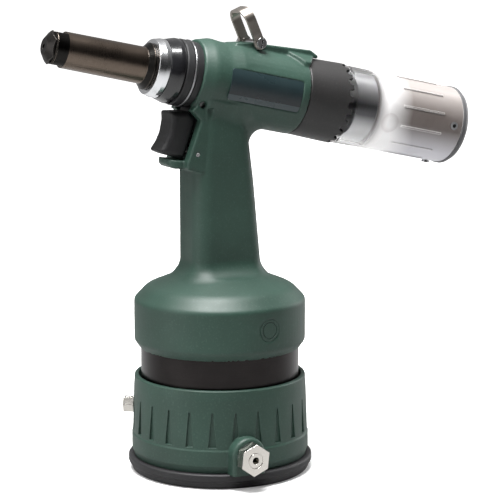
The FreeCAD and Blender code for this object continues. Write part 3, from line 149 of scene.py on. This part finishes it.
def place(tree):
    """The point being shaded, in the row frame, in metres."""
    return add(tree, "TexCoord").outputs["Object"]


def station(tree, direction, origin):
    """Distance in metres along a direction from a point."""
    offset = add(tree, "VectorMath", {"operation": "SUBTRACT"}, i0=place(tree), i1=origin)
    along = add(tree, "VectorMath", {"operation": "DOT_PRODUCT"}, i0=offset.outputs[0], i1=direction)
    return along.outputs["Value"]


def noise(tree, scale, detail=3.0, rough=0.5, stretch=None):
    """Value noise over the row frame; scale is in cycles per metre."""
    vector = place(tree)
    if stretch:
        vector = add(tree, "VectorMath", {"operation": "MULTIPLY"}, i0=vector, i1=stretch).outputs[0]
    node = add(tree, "TexNoise", None, Vector=vector, Scale=scale, Detail=detail, Roughness=rough)
    return node.outputs[0]


def line_noise(tree, value, scale, detail=2.0):
    """Value noise along one distance, for turned or drawn lines."""
    node = add(tree, "TexNoise", {"noise_dimensions": "1D"}, W=value, Scale=scale, Detail=detail)
    return node.outputs[0]


def edge_mask(tree, radius, low=0.002, high=0.12):
    """1 on convex and concave edges, 0 on faces."""
    rounded = add(tree, "Bevel", {"samples": 4}, Radius=radius)
    flat = add(tree, "NewGeometry").outputs["Normal"]
    alike = add(tree, "VectorMath", {"operation": "DOT_PRODUCT"}, i0=rounded.outputs[0], i1=flat)
    return ramp(tree, maths(tree, "SUBTRACT", 1.0, alike.outputs["Value"]), low, high)


def bump(tree, height, strength, distance, under=None):
    """A bumped normal; distance in metres."""
    inputs = {"Height": height, "Strength": strength, "Distance": distance}
    if under is not None:
        inputs["Normal"] = under
    return add(tree, "Bump", None, **inputs).outputs[0]


def start_material(name):
    """A material with an empty tree and a Principled surface."""
    material = bpy.data.materials.new(name)
    material.use_nodes = True
    tree = material.node_tree
    tree.nodes.clear()
    surface = tree.nodes.new("ShaderNodeBsdfPrincipled")
    output = tree.nodes.new("ShaderNodeOutputMaterial")
    tree.links.new(surface.outputs[0], output.inputs[0])
    return material, tree, surface


def join(tree, surface, **inputs):
    """Set or link inputs of the Principled surface."""
    for name, value in inputs.items():
        socket = surface.inputs[name.replace("_", " ")]
        if isinstance(value, bpy.types.NodeSocket):
            tree.links.new(value, socket)
        elif isinstance(value, (int, float)):
            socket.default_value = value
        else:
            socket.default_value = (*value[:3], 1.0)


# ---------------------------------------------------------------- plastics and rubber


def moulded_plastic(name, colour, rough, edge_colour, grain=1600.0, grain_strength=0.25, sheen=0.0):
    """Moulded plastic: drifting tone, fine spark-eroded grain, rubbed edges."""
    material, tree, surface = start_material(name)
    drift = noise(tree, 22.0, 4.0)
    speck = noise(tree, 900.0, 2.0)
    darker = [channel * 0.82 for channel in colour]
    lighter = [channel * 1.2 for channel in colour]
    tone = blend_colour(tree, ramp(tree, drift, 0.3, 0.7), darker, lighter)
    tone = blend_colour(tree, maths(tree, "MULTIPLY", ramp(tree, speck, 0.55, 0.8), 0.25), tone, edge_colour)
    edges = maths(tree, "MULTIPLY", edge_mask(tree, 0.0007), ramp(tree, noise(tree, 160.0, 4.0), 0.35, 0.7))
    tone = blend_colour(tree, maths(tree, "MULTIPLY", edges, 0.6), tone, edge_colour)
    waves = maths(tree, "MULTIPLY", noise(tree, 260.0), 0.6)
    grain_height = maths(tree, "ADD", noise(tree, grain, 2.0), waves)
    soft_edges = add(tree, "Bevel", {"samples": 4}, Radius=0.0006).outputs[0]
    normal = bump(tree, grain_height, grain_strength, 0.0001, soft_edges)
    roughness = add(
        tree, "MapRange", None, Value=noise(tree, 70.0, 3.0), To_Min=rough - 0.07, To_Max=rough + 0.08
    ).outputs[0]
    join(tree, surface, Base_Color=tone, Roughness=roughness, Normal=normal, Sheen_Weight=sheen)
    return material


GREEN = (0.021, 0.052, 0.038)
GREEN_EDGE = (0.085, 0.15, 0.12)
BLACK = (0.010, 0.010, 0.011)
BLACK_EDGE = (0.04, 0.04, 0.042)
BAND_BLACK = (0.02, 0.019, 0.018)
SLEEVE_BANDS = ((40.0, 52.6), (103.0, 112.0))  # blackened stretches of the nose sleeve, along the barrel


def rubber():
    """Black rubber with a faint bloom."""
    return moulded_plastic("rubber", (0.013, 0.0125, 0.014), 0.55, (0.05, 0.047, 0.05), 900.0, 0.35)


def gloss_black():
    """Gloss black: clear coat over black, faint orange peel."""
    material, tree, surface = start_material("gloss_black")
    drift = ramp(tree, noise(tree, 60.0), 0.3, 0.7)
    tone = blend_colour(tree, drift, (0.006, 0.006, 0.007), (0.014, 0.014, 0.016))
    edges = edge_mask(tree, 0.0006)
    tone = blend_colour(tree, maths(tree, "MULTIPLY", edges, 0.5), tone, BLACK_EDGE)
    soft_edges = add(tree, "Bevel", {"samples": 4}, Radius=0.0006).outputs[0]
    normal = bump(tree, noise(tree, 320.0), 0.12, 0.0001, soft_edges)
    rough = add(tree, "MapRange", None, Value=noise(tree, 90.0), To_Min=0.14, To_Max=0.26).outputs[0]
    join(tree, surface, Base_Color=tone, Roughness=rough, Normal=normal, Coat_Weight=0.6, Coat_Roughness=0.12)
    return material


# ---------------------------------------------------------------- metals


def banded(tree, tone, bands, colour):
    """Another colour on stretches of the barrel axis, each from one station to another in millimetres."""
    along = station(tree, NOSEWARD, BARREL_ORIGIN)
    for rear, front in bands:
        past_rear = maths(tree, "GREATER_THAN", along, rear * MM)
        before_front = maths(tree, "LESS_THAN", along, front * MM)
        tone = blend_colour(tree, maths(tree, "MULTIPLY", past_rear, before_front), tone, colour)
    return tone


def turned_metal(
    name, colour, rough, worn, direction=None, origin=(0, 0, 0),
    lines=9000.0, strength=0.15, dark=0.75, bands=(),
):
    """Metal with fine turning lines square to a direction; plain brushed where there is none."""
    material, tree, surface = start_material(name)
    if direction is None:
        grooves = noise(tree, 400.0, 3.0, stretch=(1.0, 1.0, 14.0))
    else:
        grooves = line_noise(tree, station(tree, direction, origin), lines, 4.0)
    patch = noise(tree, 55.0, 4.0)
    tone = blend_colour(tree, ramp(tree, patch, 0.3, 0.72), [channel * dark for channel in colour], colour)
    tone = blend_colour(tree, maths(tree, "MULTIPLY", ramp(tree, grooves, 0.45, 0.7), 0.25), tone, worn)
    tone = banded(tree, tone, bands, BAND_BLACK)
    tone = blend_colour(tree, maths(tree, "MULTIPLY", edge_mask(tree, 0.0005), 0.7), tone, worn)
    soft_edges = add(tree, "Bevel", {"samples": 4}, Radius=0.0003).outputs[0]
    normal = bump(tree, grooves, strength, 0.00005, soft_edges)
    spread = maths(tree, "ADD", maths(tree, "MULTIPLY", patch, 0.6), maths(tree, "MULTIPLY", grooves, 0.4))
    roughness = add(tree, "MapRange", None, Value=spread, To_Min=rough - 0.1, To_Max=rough + 0.12).outputs[0]
    join(tree, surface, Base_Color=tone, Metallic=1.0, Roughness=roughness, Normal=normal)
    return material


# ---------------------------------------------------------------- special surfaces

# millimetres behind the barrel origin (stations) and above the barrel axis (heights)
# stations where the clear plastic gives way to a layer of painted reflection and painted glow
PAINTED_LAYER_STATIONS = (100.0, 108.0)
# where that painted layer goes from glowing near white to grey painted reflection
GREY_START = 108.0
GREY_LENGTH = 17.0
GREY_LAG_BELOW = 8.0
# heights where the painted reflection turns paler, above and below its dark middle
UPPER_REFLECTION_BAND = (3.0, 25.0)
LOWER_REFLECTION_BAND = (-4.0, -19.0)
DISC_HEIGHT = -5.7
DISC_STATION = 110.0
DISC_INNER = (3.0, 5.4)
DISC_OUTER = (6.6, 5.8)
# middle height and spread of the insert's painted reflection, dark round the middle
INSERT_HEIGHT = -1.0
INSERT_SHADE = (3.0, 17.0)
# the screw head's station, and the radii of the painted socket shade on it
SCREW_STATION = 155.5
SOCKET_SHADE_RIM = (1.35, 1.15)
STRIP_EDGE = (-6.9, -7.0)
# heights over which painted light turns the label's field lighter
LABEL_PAINTED_LIGHT = (-7.0, 6.0)


def ramp_mm(tree, factor, span):
    """A ramp over a span given in millimetres."""
    return ramp(tree, factor, span[0] * MM, span[1] * MM)


def clear_plastic():
    """Clear moulded plastic that turns, towards its rear end, to a satin layer of painted light: near white
    and glowing, then a grey painted reflection that is dark round the middle height and paler above and
    below.
    """
    material, tree, surface = start_material("clear_plastic")
    join(
        tree,
        surface,
        Base_Color=(0.97, 0.97, 0.97),
        Roughness=0.05,
        IOR=1.12,
        Transmission_Weight=1.0,
        Normal=bump(tree, noise(tree, 120.0), 0.08, 0.0002),
    )
    height = station(tree, BARREL_UP, BARREL_ORIGIN)
    behind = station(tree, REARWARD, BARREL_ORIGIN)
    upper = ramp_mm(tree, height, UPPER_REFLECTION_BAND)
    lower = ramp_mm(tree, height, LOWER_REFLECTION_BAND)
    patch = noise(tree, 70.0, 4.0)
    # Painted reflection: grey, dark round the middle height and paler in bands above and below, as dark
    # surroundings show on a curved surface.
    tone = blend_colour(tree, ramp(tree, patch, 0.3, 0.7), (0.15, 0.125, 0.115), (0.19, 0.165, 0.155))
    tone = blend_colour(tree, upper, tone, (0.5, 0.46, 0.44))
    tone = blend_colour(tree, lower, tone, (0.62, 0.61, 0.65))
    start = maths(tree, "ADD", maths(tree, "MULTIPLY", lower, GREY_LAG_BELOW * MM), GREY_START * MM)
    greyed = ramp(tree, maths(tree, "SUBTRACT", behind, start), 0.0, GREY_LENGTH * MM)
    across = maths(tree, "POWER", maths(tree, "SUBTRACT", height, DISC_HEIGHT * MM), 2.0)
    along = maths(tree, "POWER", maths(tree, "SUBTRACT", behind, DISC_STATION * MM), 2.0)
    reach = maths(tree, "SQRT", maths(tree, "ADD", across, along))
    disc = maths(tree, "MULTIPLY", ramp_mm(tree, reach, DISC_OUTER), ramp_mm(tree, reach, DISC_INNER))
    # Painted light: in front, the layer is near white, with the backdrop seen through the plastic painted on
    # it; a darker ring marks the moulded disc.
    white = blend_colour(tree, disc, (0.86, 0.85, 0.85), (0.73, 0.71, 0.71))
    tone = blend_colour(tree, greyed, white, tone)
    # Painted highlight: edges and rib crests are lightened to near white.
    tone = blend_colour(tree, maths(tree, "MULTIPLY", edge_mask(tree, 0.0006), 0.8), tone, (0.9, 0.89, 0.88))
    # Painted light: the layer glows by itself, 0.26 where it is near white, down to 0.10 where it is grey.
    glow = maths(tree, "SUBTRACT", 0.26, maths(tree, "MULTIPLY", greyed, 0.16))
    satin = tree.nodes.new("ShaderNodeBsdfPrincipled")
    join(tree, satin, Base_Color=tone, Metallic=0.2, Roughness=0.32, Normal=bump(tree, patch, 0.1, 0.0002))
    join(tree, satin, Emission_Color=tone, Emission_Strength=glow)
    # behind these stations the clear plastic gives way to the painted layer
    painted_share = maths(tree, "MULTIPLY", ramp_mm(tree, behind, PAINTED_LAYER_STATIONS), 0.93)
    mixed = add(tree, "MixShader", None, i0=painted_share)
    tree.links.new(surface.outputs[0], mixed.inputs[1])
    tree.links.new(satin.outputs[0], mixed.inputs[2])
    output = next(node for node in tree.nodes if node.type == "OUTPUT_MATERIAL")
    tree.links.new(mixed.outputs[0], output.inputs[0])
    return material


def insert_aluminium():
    """Turned aluminium sleeve with a painted reflection: near black round its middle height, bright above and
    below.
    """
    material, tree, surface = start_material("insert_aluminium")
    height = station(tree, BARREL_UP, barrel_point(INSERT_HEIGHT, 0.0, 0.0))
    away = ramp_mm(tree, maths(tree, "ABSOLUTE", height), INSERT_SHADE)
    lines = line_noise(tree, station(tree, NOSEWARD, BARREL_ORIGIN), 5000.0, 3.0)
    # Painted reflection: dark round the middle height, as dark surroundings show on the curved metal.
    tone = blend_colour(tree, away, (0.05, 0.05, 0.055), (0.93, 0.93, 0.94))
    tone = blend_colour(tree, maths(tree, "MULTIPLY", lines, 0.2), tone, (0.75, 0.75, 0.77))
    tone = blend_colour(tree, edge_mask(tree, 0.0004), tone, (0.9, 0.9, 0.9))
    rough = add(tree, "MapRange", None, Value=noise(tree, 90.0), To_Min=0.25, To_Max=0.4).outputs[0]
    normal = bump(tree, lines, 0.1, 0.00005)
    join(tree, surface, Base_Color=tone, Metallic=0.8, Roughness=rough, Normal=normal)
    return material


def socket_screw():
    """Bright screw with painted shade on the head that faces the air inlet side: a black, non-metallic disc
    stands in for the socket's shaded recess.
    """
    material, tree, surface = start_material("socket_screw")
    height = maths(tree, "POWER", station(tree, BARREL_UP, BARREL_ORIGIN), 2.0)
    head = station(tree, REARWARD, barrel_point(0.0, 0.0, -SCREW_STATION))
    reach = maths(tree, "SQRT", maths(tree, "ADD", height, maths(tree, "POWER", head, 2.0)))
    # Painted shade: a black disc where the socket's recess lies in shade; the recess is not cut in the shape.
    socket = ramp_mm(tree, reach, SOCKET_SHADE_RIM)
    patch = noise(tree, 600.0, 3.0)
    tone = blend_colour(tree, ramp(tree, patch, 0.3, 0.7), (0.6, 0.6, 0.62), (0.8, 0.8, 0.82))
    tone = blend_colour(tree, edge_mask(tree, 0.0003), tone, (0.9, 0.9, 0.9))
    tone = blend_colour(tree, socket, tone, (0.004, 0.004, 0.004))
    rough = add(tree, "MapRange", None, Value=patch, To_Min=0.15, To_Max=0.3).outputs[0]
    shine = maths(tree, "SUBTRACT", 1.0, socket)
    normal = bump(tree, patch, 0.05, 0.0001)
    join(tree, surface, Base_Color=tone, Metallic=shine, Roughness=rough, Normal=normal)
    return material


def label_film():
    """Dark blank label with a paler strip along its lower edge; painted light makes the field lighter towards
    its top.
    """
    material, tree, surface = start_material("label_film")
    height = station(tree, BARREL_UP, BARREL_ORIGIN)
    strip = ramp_mm(tree, height, STRIP_EDGE)
    # Painted light: the label's field turns lighter towards its top.
    painted_light_rise = ramp_mm(tree, height, LABEL_PAINTED_LIGHT)
    field = blend_colour(tree, painted_light_rise, (0.004, 0.009, 0.013), (0.018, 0.034, 0.038))
    tone = blend_colour(tree, strip, field, (0.045, 0.066, 0.072))
    tone = blend_colour(tree, maths(tree, "MULTIPLY", noise(tree, 150.0, 4.0), 0.08), tone, (0.1, 0.12, 0.12))
    rough = add(tree, "MapRange", None, Value=noise(tree, 80.0), To_Min=0.22, To_Max=0.36).outputs[0]
    join(tree, surface, Base_Color=tone, Roughness=rough, Normal=bump(tree, noise(tree, 500.0), 0.08, 0.0001))
    return material


def felt():
    """Pressed felt."""
    return moulded_plastic("felt", (0.3, 0.28, 0.24), 0.9, (0.4, 0.38, 0.33), 500.0, 0.9, 0.3)


# ---------------------------------------------------------------- materials by node

HANDLE_UP = (0.0, 0.0, 1.0)
AXIS = tuple(NOSEWARD)
START = tuple(BARREL_ORIGIN)

green = moulded_plastic("green_plastic", GREEN, 0.5, GREEN_EDGE)
matte_black = moulded_plastic("black_plastic", BLACK, 0.55, BLACK_EDGE)
collar_black = moulded_plastic("collar_plastic", (0.019, 0.018, 0.018), 0.5, (0.07, 0.066, 0.064), 1200.0)
foot_rubber = rubber()
shiny_black = gloss_black()
gun_metal = turned_metal(
    "gun_metal", (0.15, 0.118, 0.095), 0.27, (0.3, 0.25, 0.21), AXIS, START, bands=SLEEVE_BANDS
)
wire_steel = turned_metal("wire_steel", (0.3, 0.3, 0.31), 0.3, (0.5, 0.5, 0.5), AXIS, START)
black_oxide = turned_metal("black_oxide", (0.03, 0.028, 0.027), 0.36, (0.13, 0.12, 0.11), AXIS, START)
aluminium = turned_metal(
    "machined_aluminium", (0.82, 0.83, 0.85), 0.22, (0.95, 0.95, 0.96), AXIS, START, dark=0.9
)
base_aluminium = turned_metal("plate_aluminium", (0.7, 0.71, 0.73), 0.32, (0.85, 0.85, 0.86), HANDLE_UP)
anodised = turned_metal("dark_anodised", (0.03, 0.027, 0.027), 0.3, (0.075, 0.068, 0.065), HANDLE_UP)
insert_metal = insert_aluminium()
bright_steel = turned_metal("bright_steel", (0.6, 0.6, 0.6), 0.25, (0.8, 0.8, 0.8), AXIS, START)
plate_steel = turned_metal("plate_steel", (0.42, 0.42, 0.43), 0.35, (0.6, 0.6, 0.6))
nickel = turned_metal("nickel", (0.74, 0.71, 0.66), 0.2, (0.9, 0.88, 0.84), (0.0, 1.0, 0.0), dark=0.85)
hanger_nickel = turned_metal("hanger_nickel", (0.42, 0.38, 0.34), 0.34, (0.62, 0.58, 0.53))
chrome = turned_metal(
    "chrome", (0.85, 0.85, 0.86), 0.1, (0.95, 0.95, 0.95), (0.0, 1.0, 0.0), strength=0.05, dark=0.92
)
brass = turned_metal("brass", (0.62, 0.45, 0.18), 0.28, (0.8, 0.62, 0.3), AXIS, START)
cap_grey = moulded_plastic("cap_plastic", (0.11, 0.11, 0.115), 0.4, (0.24, 0.24, 0.25))
clear = clear_plastic()
socket_steel = socket_screw()
label = label_film()
felt_pad = felt()

LOOKS = {
    "rubber": foot_rubber,
    "steel_plate": plate_steel,
    "bright_steel": bright_steel,
    "felt": felt_pad,
    "green_plastic": green,
    "nickel": nickel,
    "aluminium": base_aluminium,
    "brass": brass,
    "dark_anodised": anodised,
    "label_plastic": label,
    "black_oxide": black_oxide,
    "gun_metal": gun_metal,
    "black_plastic": matte_black,
    "black_gloss": shiny_black,
    "chrome": chrome,
    "clear_plastic": clear,
    "grey_plastic": cap_grey,
}
NODE_LOOKS = {
    "lock_ring": aluminium,
    "wire_ring": wire_steel,
    "pilot_valve_body": black_oxide,
    "adapter_collar": collar_black,
    "hanger": hanger_nickel,
    "bottle_screws": socket_steel,
    "bottle_insert": insert_metal,
}


def dress(item, material):
    """Give an object one material."""
    item.data.materials.clear()
    item.data.materials.append(material)


for part in frame["record"]["subparts"]:
    dress(NODES[part["node"]], NODE_LOOKS.get(part["node"], LOOKS[part["material_slot"]]))

# ---------------------------------------------------------------- the green body as one moulding

BODY_GRAIN = 0.8  # millimetres between points of the body's mesh
BARREL_STATIONS = (-51.0, -6.0, 3.0, 12.0, 20.0)
BARREL_RADII = (24.5, 24.3, 23.1, 23.9, 21.7)
GRIP_FRONT = -22.2
GRIP_HALF = 17.5
GRIP_CORNER = 9.5
GRIP_HEIGHTS = (112.0, 132.0, 181.0, 213.2, 236.0)
GRIP_REARS = (23.4, 22.8, 18.1, 13.9, 10.9)
GRIP_TOP = -8.0  # above the barrel axis
DOME_RADII = (10.0, 27.0, 45.5, 53.0)
DOME_HEIGHTS = (125.0, 122.8, 115.3, 107.0)
DOME_FILLET = 9.0
BARREL_BORE = 20.5
SEAT_RADIUS = 23.3
LABEL_FOOT = -11.5
LABEL_MARGIN = 4.0
LABEL_INNER = 12.0  # nearer the middle plane than this, the label sets no limit
DOME_SLOPE = 0.96  # turns the dome's height difference into a distance
ROOT_FILLET = 6.0
REAR_EXTRA = 10.0  # added to the root fillet at the back of the handle's head
REAR_X = (2.0, 14.0)
REAR_Y = (7.0, 16.0)
CHEEK_X = (-17.0, -9.0)  # no filleting in front of this, where the trigger's cheeks stand
CHEEK_FOOT = 160.0  # below this height there are no cheeks
WEB_X = 6.0
WEB_FOOT = 190.0
WEB_TOP = -12.0


def eased(value, low, high):
    """0 below low, 1 above high, smooth between."""
    share = np.clip((value - low) / (high - low), 0.0, 1.0)
    return share * share * (3.0 - 2.0 * share)


def filleted(first, second, radius):
    """Distance to two solids joined by a fillet of one radius, from the distance to each."""
    depth = np.hypot(np.maximum(radius - first, 0.0), np.maximum(radius - second, 0.0))
    return np.maximum(radius, np.minimum(first, second)) - depth


def corner_distance(first, second):
    """Distance to where two solids overlap."""
    outside = np.hypot(np.maximum(first, 0.0), np.maximum(second, 0.0))
    return outside + np.minimum(np.maximum(first, second), 0.0)


def along_barrel(points):
    """Height above the barrel axis and station along it, in millimetres."""
    offset = points - np.array(BARREL_ORIGIN) / MM
    return offset @ np.array(BARREL_UP), offset @ np.array(NOSEWARD)


def body_distances(points):
    """Distances in millimetres to the barrel, the grip and the dome, as plain unjoined solids."""
    x, y, z = points.T
    up, along = along_barrel(points)
    barrel = np.hypot(up, y) - np.interp(along, BARREL_STATIONS, BARREL_RADII)
    rear = np.interp(z, GRIP_HEIGHTS, GRIP_REARS)
    over_x = np.abs(x - (rear + GRIP_FRONT) / 2) - (rear - GRIP_FRONT) / 2 + GRIP_CORNER
    over_y = np.abs(y) - GRIP_HALF + GRIP_CORNER
    grip = corner_distance(corner_distance(over_x, over_y) - GRIP_CORNER, up - GRIP_TOP)
    dome = (z - np.interp(np.hypot(x, y), DOME_RADII, DOME_HEIGHTS)) * DOME_SLOPE
    return barrel, grip, dome, up


def joined_distance(points):
    """Distance to the body with its fillets: small round the grip's foot, wide at the back of its head."""
    barrel, grip, dome, _ = body_distances(points)
    rear_share = eased(points[:, 0], *REAR_X) * (1.0 - eased(np.abs(points[:, 1]), *REAR_Y))
    root = ROOT_FILLET + REAR_EXTRA * rear_share
    return filleted(filleted(grip, dome, DOME_FILLET), barrel, root)


def settled(points, chosen):
    """The chosen points moved along the distance's slope on to the filleted surface."""
    step = 0.05
    for _ in range(4):
        here = joined_distance(points)
        slope = np.stack([joined_distance(points + step * axis) - here for axis in np.eye(3)], axis=1) / step
        size = np.maximum((slope * slope).sum(axis=1), 0.25)
        points = points - slope * (here * chosen / size)[:, None]
    return points


def relaxed(points, edges, chosen, rounds):
    """The chosen points drawn towards the mean of their neighbours."""
    count = len(points)
    first, second = edges.T
    degree = np.bincount(edges.ravel(), minlength=count)
    for _ in range(rounds):
        total = [
            np.bincount(first, points[second, axis], count) + np.bincount(second, points[first, axis], count)
            for axis in range(3)
        ]
        mean = np.stack(total, axis=1) / degree[:, None]
        points = points + (mean - points) * (0.5 * chosen)[:, None]
    return points


def even_mesh(node, grain):
    """A node's surface as an even mesh of quads that lies on it."""
    source = NODES[node]
    copy = bpy.data.objects.new("even_copy", source.data.copy())
    copy.matrix_world = source.matrix_world
    bpy.context.scene.collection.objects.link(copy)
    remesh = copy.modifiers.new("even", "REMESH")
    remesh.mode = "VOXEL"
    remesh.voxel_size = grain * MM
    remesh.use_smooth_shade = True
    cling = copy.modifiers.new("cling", "SHRINKWRAP")
    cling.target = source
    cling.wrap_method = "NEAREST_SURFACEPOINT"
    bpy.context.view_layer.update()
    shape = copy.evaluated_get(bpy.context.evaluated_depsgraph_get())
    mesh = bpy.data.meshes.new_from_object(shape)
    mesh.transform(copy.matrix_world)
    bpy.data.objects.remove(copy)
    return mesh


def label_seat(points):
    """How far inside the nameplate's outline each point lies, in millimetres, on the nameplate's side."""
    corners = np.array([vertex.co for vertex in NODES["nameplate"].data.vertices]) / MM
    label_up, label_along = along_barrel(corners)
    up, along = along_barrel(points)
    over_up = np.minimum(up - label_up.min(), label_up.max() - up)
    over_along = np.minimum(along - label_along.min(), label_along.max() - along)
    inside = np.minimum(over_up, over_along)
    return np.where(points[:, 1] < -BARREL_BORE * 0.8, inside, -np.inf)


def sunk(points, seat):
    """The barrel's skin behind the nameplate, pressed in so that it stays under it."""
    up, _ = along_barrel(points)
    reach = np.hypot(up, points[:, 1])
    skin = (seat > 1.0) & (reach > BARREL_BORE + 1.0)
    share = np.where(skin, np.minimum(1.0, SEAT_RADIUS / reach), 1.0) - 1.0
    moved = points + (up * share)[:, None] * np.array(BARREL_UP)
    moved[:, 1] += points[:, 1] * share
    return moved


def moulded_body():
    """The body shell with its handle run smoothly into the barrel and the shoulder."""
    mesh = even_mesh("body_shell", BODY_GRAIN)
    count = len(mesh.vertices)
    flat = np.empty(count * 3)
    mesh.vertices.foreach_get("co", flat)
    points = flat.reshape(count, 3) / MM
    pairs = np.empty(len(mesh.edges) * 2, dtype=np.int32)
    mesh.edges.foreach_get("vertices", pairs)
    edges = pairs.reshape(-1, 2)
    seat = label_seat(points)
    points = relaxed(points, edges, np.where(seat > -2.0, 0.0, 0.7), 2)
    points = sunk(points, seat)
    barrel, grip, dome, up = body_distances(points)
    plain = np.minimum(np.minimum(barrel, grip), dome)
    skin = plain > -0.6
    junction = plain - joined_distance(points) > 0.005
    web = (points[:, 0] > WEB_X) & (points[:, 2] > WEB_FOOT) & (up < WEB_TOP) & (plain > 0.02)
    chosen = (skin & (junction | web)).astype(float)
    chosen *= np.maximum(eased(points[:, 0], *CHEEK_X), points[:, 2] < CHEEK_FOOT)
    below_label = 1.0 - eased(up, LABEL_FOOT - LABEL_MARGIN, LABEL_FOOT)
    chosen *= np.maximum(below_label, np.abs(points[:, 1]) < LABEL_INNER)
    for _ in range(2):
        points = settled(points, chosen)
        points = relaxed(points, edges, chosen, 3)
    points = settled(points, chosen)
    mesh.vertices.foreach_set("co", (points * MM).ravel())
    mesh.update()
    mesh.name = "moulded_body"
    item = bpy.data.objects.new("moulded_body", mesh)
    bpy.context.scene.collection.objects.link(item)
    dress(item, green)
    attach(item, body_of(NODES["body_shell"])[0])
    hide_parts("body_shell")
    return item


moulded_body()

# ---------------------------------------------------------------- studio


def floor():
    """A pale floor that fills the view; it glows for the camera only, so it does not light the tool."""
    mesh = bpy.data.meshes.new("floor")
    shape = bmesh.new()
    bmesh.ops.create_grid(shape, x_segments=1, y_segments=1, size=12.0)
    shape.to_mesh(mesh)
    shape.free()
    item = bpy.data.objects.new("floor", mesh)
    bpy.context.scene.collection.objects.link(item)
    material, tree, surface = start_material("floor")
    reach = add(tree, "VectorMath", {"operation": "LENGTH"}, i0=place(tree)).outputs["Value"]
    far = ramp(tree, reach, 0.2, 1.1)
    seen = add(tree, "LightPath").outputs["Is Camera Ray"]
    pale = blend_colour(tree, noise(tree, 0.6), (0.9, 0.9, 0.9), (0.94, 0.94, 0.94))
    tone = blend_colour(tree, seen, (0.35, 0.35, 0.35), pale)
    brightness = maths(tree, "ADD", maths(tree, "MULTIPLY", far, 0.8), 0.2)
    glow = maths(tree, "MULTIPLY", brightness, seen)
    join(tree, surface, Base_Color=tone, Roughness=0.7)
    join(tree, surface, Emission_Color=(1.0, 1.0, 1.0), Emission_Strength=glow)
    mesh.materials.append(material)
    return item


# name, place, width and height in metres, power in watts
LIGHTS = (
    ("top_light", (-0.25, -0.15, 1.5), 0.8, 0.8, 62.0),
    ("left_light", (-1.5, -0.1, 0.5), 0.6, 1.4, 8.0),
    ("right_light", (1.3, 0.3, 0.5), 0.5, 1.4, 8.0),
)
AZIMUTH = math.radians(-26.0)
ELEVATION = math.radians(9.6)
DISTANCE = 1.193
LENS = 139.2
BACK = Vector(
    (math.sin(AZIMUTH) * math.cos(ELEVATION), -math.cos(AZIMUTH) * math.cos(ELEVATION), math.sin(ELEVATION))
)
CENTRE = (cad_low + cad_high) / 2
TARGET = Vector((0.0169, -0.0082, 0.1368))


def camera():
    """The camera, looking down a little at the air inlet side from the nose end."""
    data = bpy.data.cameras.new("camera")
    data.lens = LENS
    data.sensor_width = 36.0
    data.clip_end = 50.0
    item = bpy.data.objects.new("camera", data)
    item.location = TARGET + BACK * DISTANCE
    item.rotation_euler = BACK.to_track_quat("Z", "Y").to_euler()
    bpy.context.scene.collection.objects.link(item)
    bpy.context.scene.camera = item
    return item


def softbox(name, location, aim, width, height, power):
    """A rectangular area light aimed at a point."""
    data = bpy.data.lights.new(name, "AREA")
    data.shape = "RECTANGLE"
    data.size = width
    data.size_y = height
    data.energy = power
    item = bpy.data.objects.new(name, data)
    item.location = location
    item.rotation_euler = (Vector(location) - Vector(aim)).to_track_quat("Z", "Y").to_euler()
    bpy.context.scene.collection.objects.link(item)
    return item


def surroundings():
    """Bright studio walls that fall to a dim patch behind the camera."""
    world = bpy.data.worlds.new("studio")
    world.use_nodes = True
    tree = world.node_tree
    tree.nodes.clear()
    direction = add(tree, "NewGeometry").outputs["Incoming"]
    facing = add(tree, "VectorMath", {"operation": "DOT_PRODUCT"}, i0=direction, i1=tuple(-BACK))
    behind = ramp(tree, facing.outputs["Value"], -0.3, 0.55)
    tone = blend_colour(tree, behind, (0.36, 0.36, 0.36), (0.01, 0.01, 0.01))
    seen = add(tree, "LightPath").outputs["Is Camera Ray"]
    tone = blend_colour(tree, seen, tone, (1.2, 1.2, 1.2))
    light = add(tree, "Background", None, Color=tone, Strength=1.0)
    output = tree.nodes.new("ShaderNodeOutputWorld")
    tree.links.new(light.outputs[0], output.inputs[0])
    bpy.context.scene.world = world


floor()
camera()
surroundings()
for light_name, light_place, light_width, light_height, light_power in LIGHTS:
    softbox(light_name, light_place, CENTRE, light_width, light_height, light_power)
bpy.context.scene.view_settings.view_transform = "Standard"
bpy.context.scene.view_settings.look = "None"
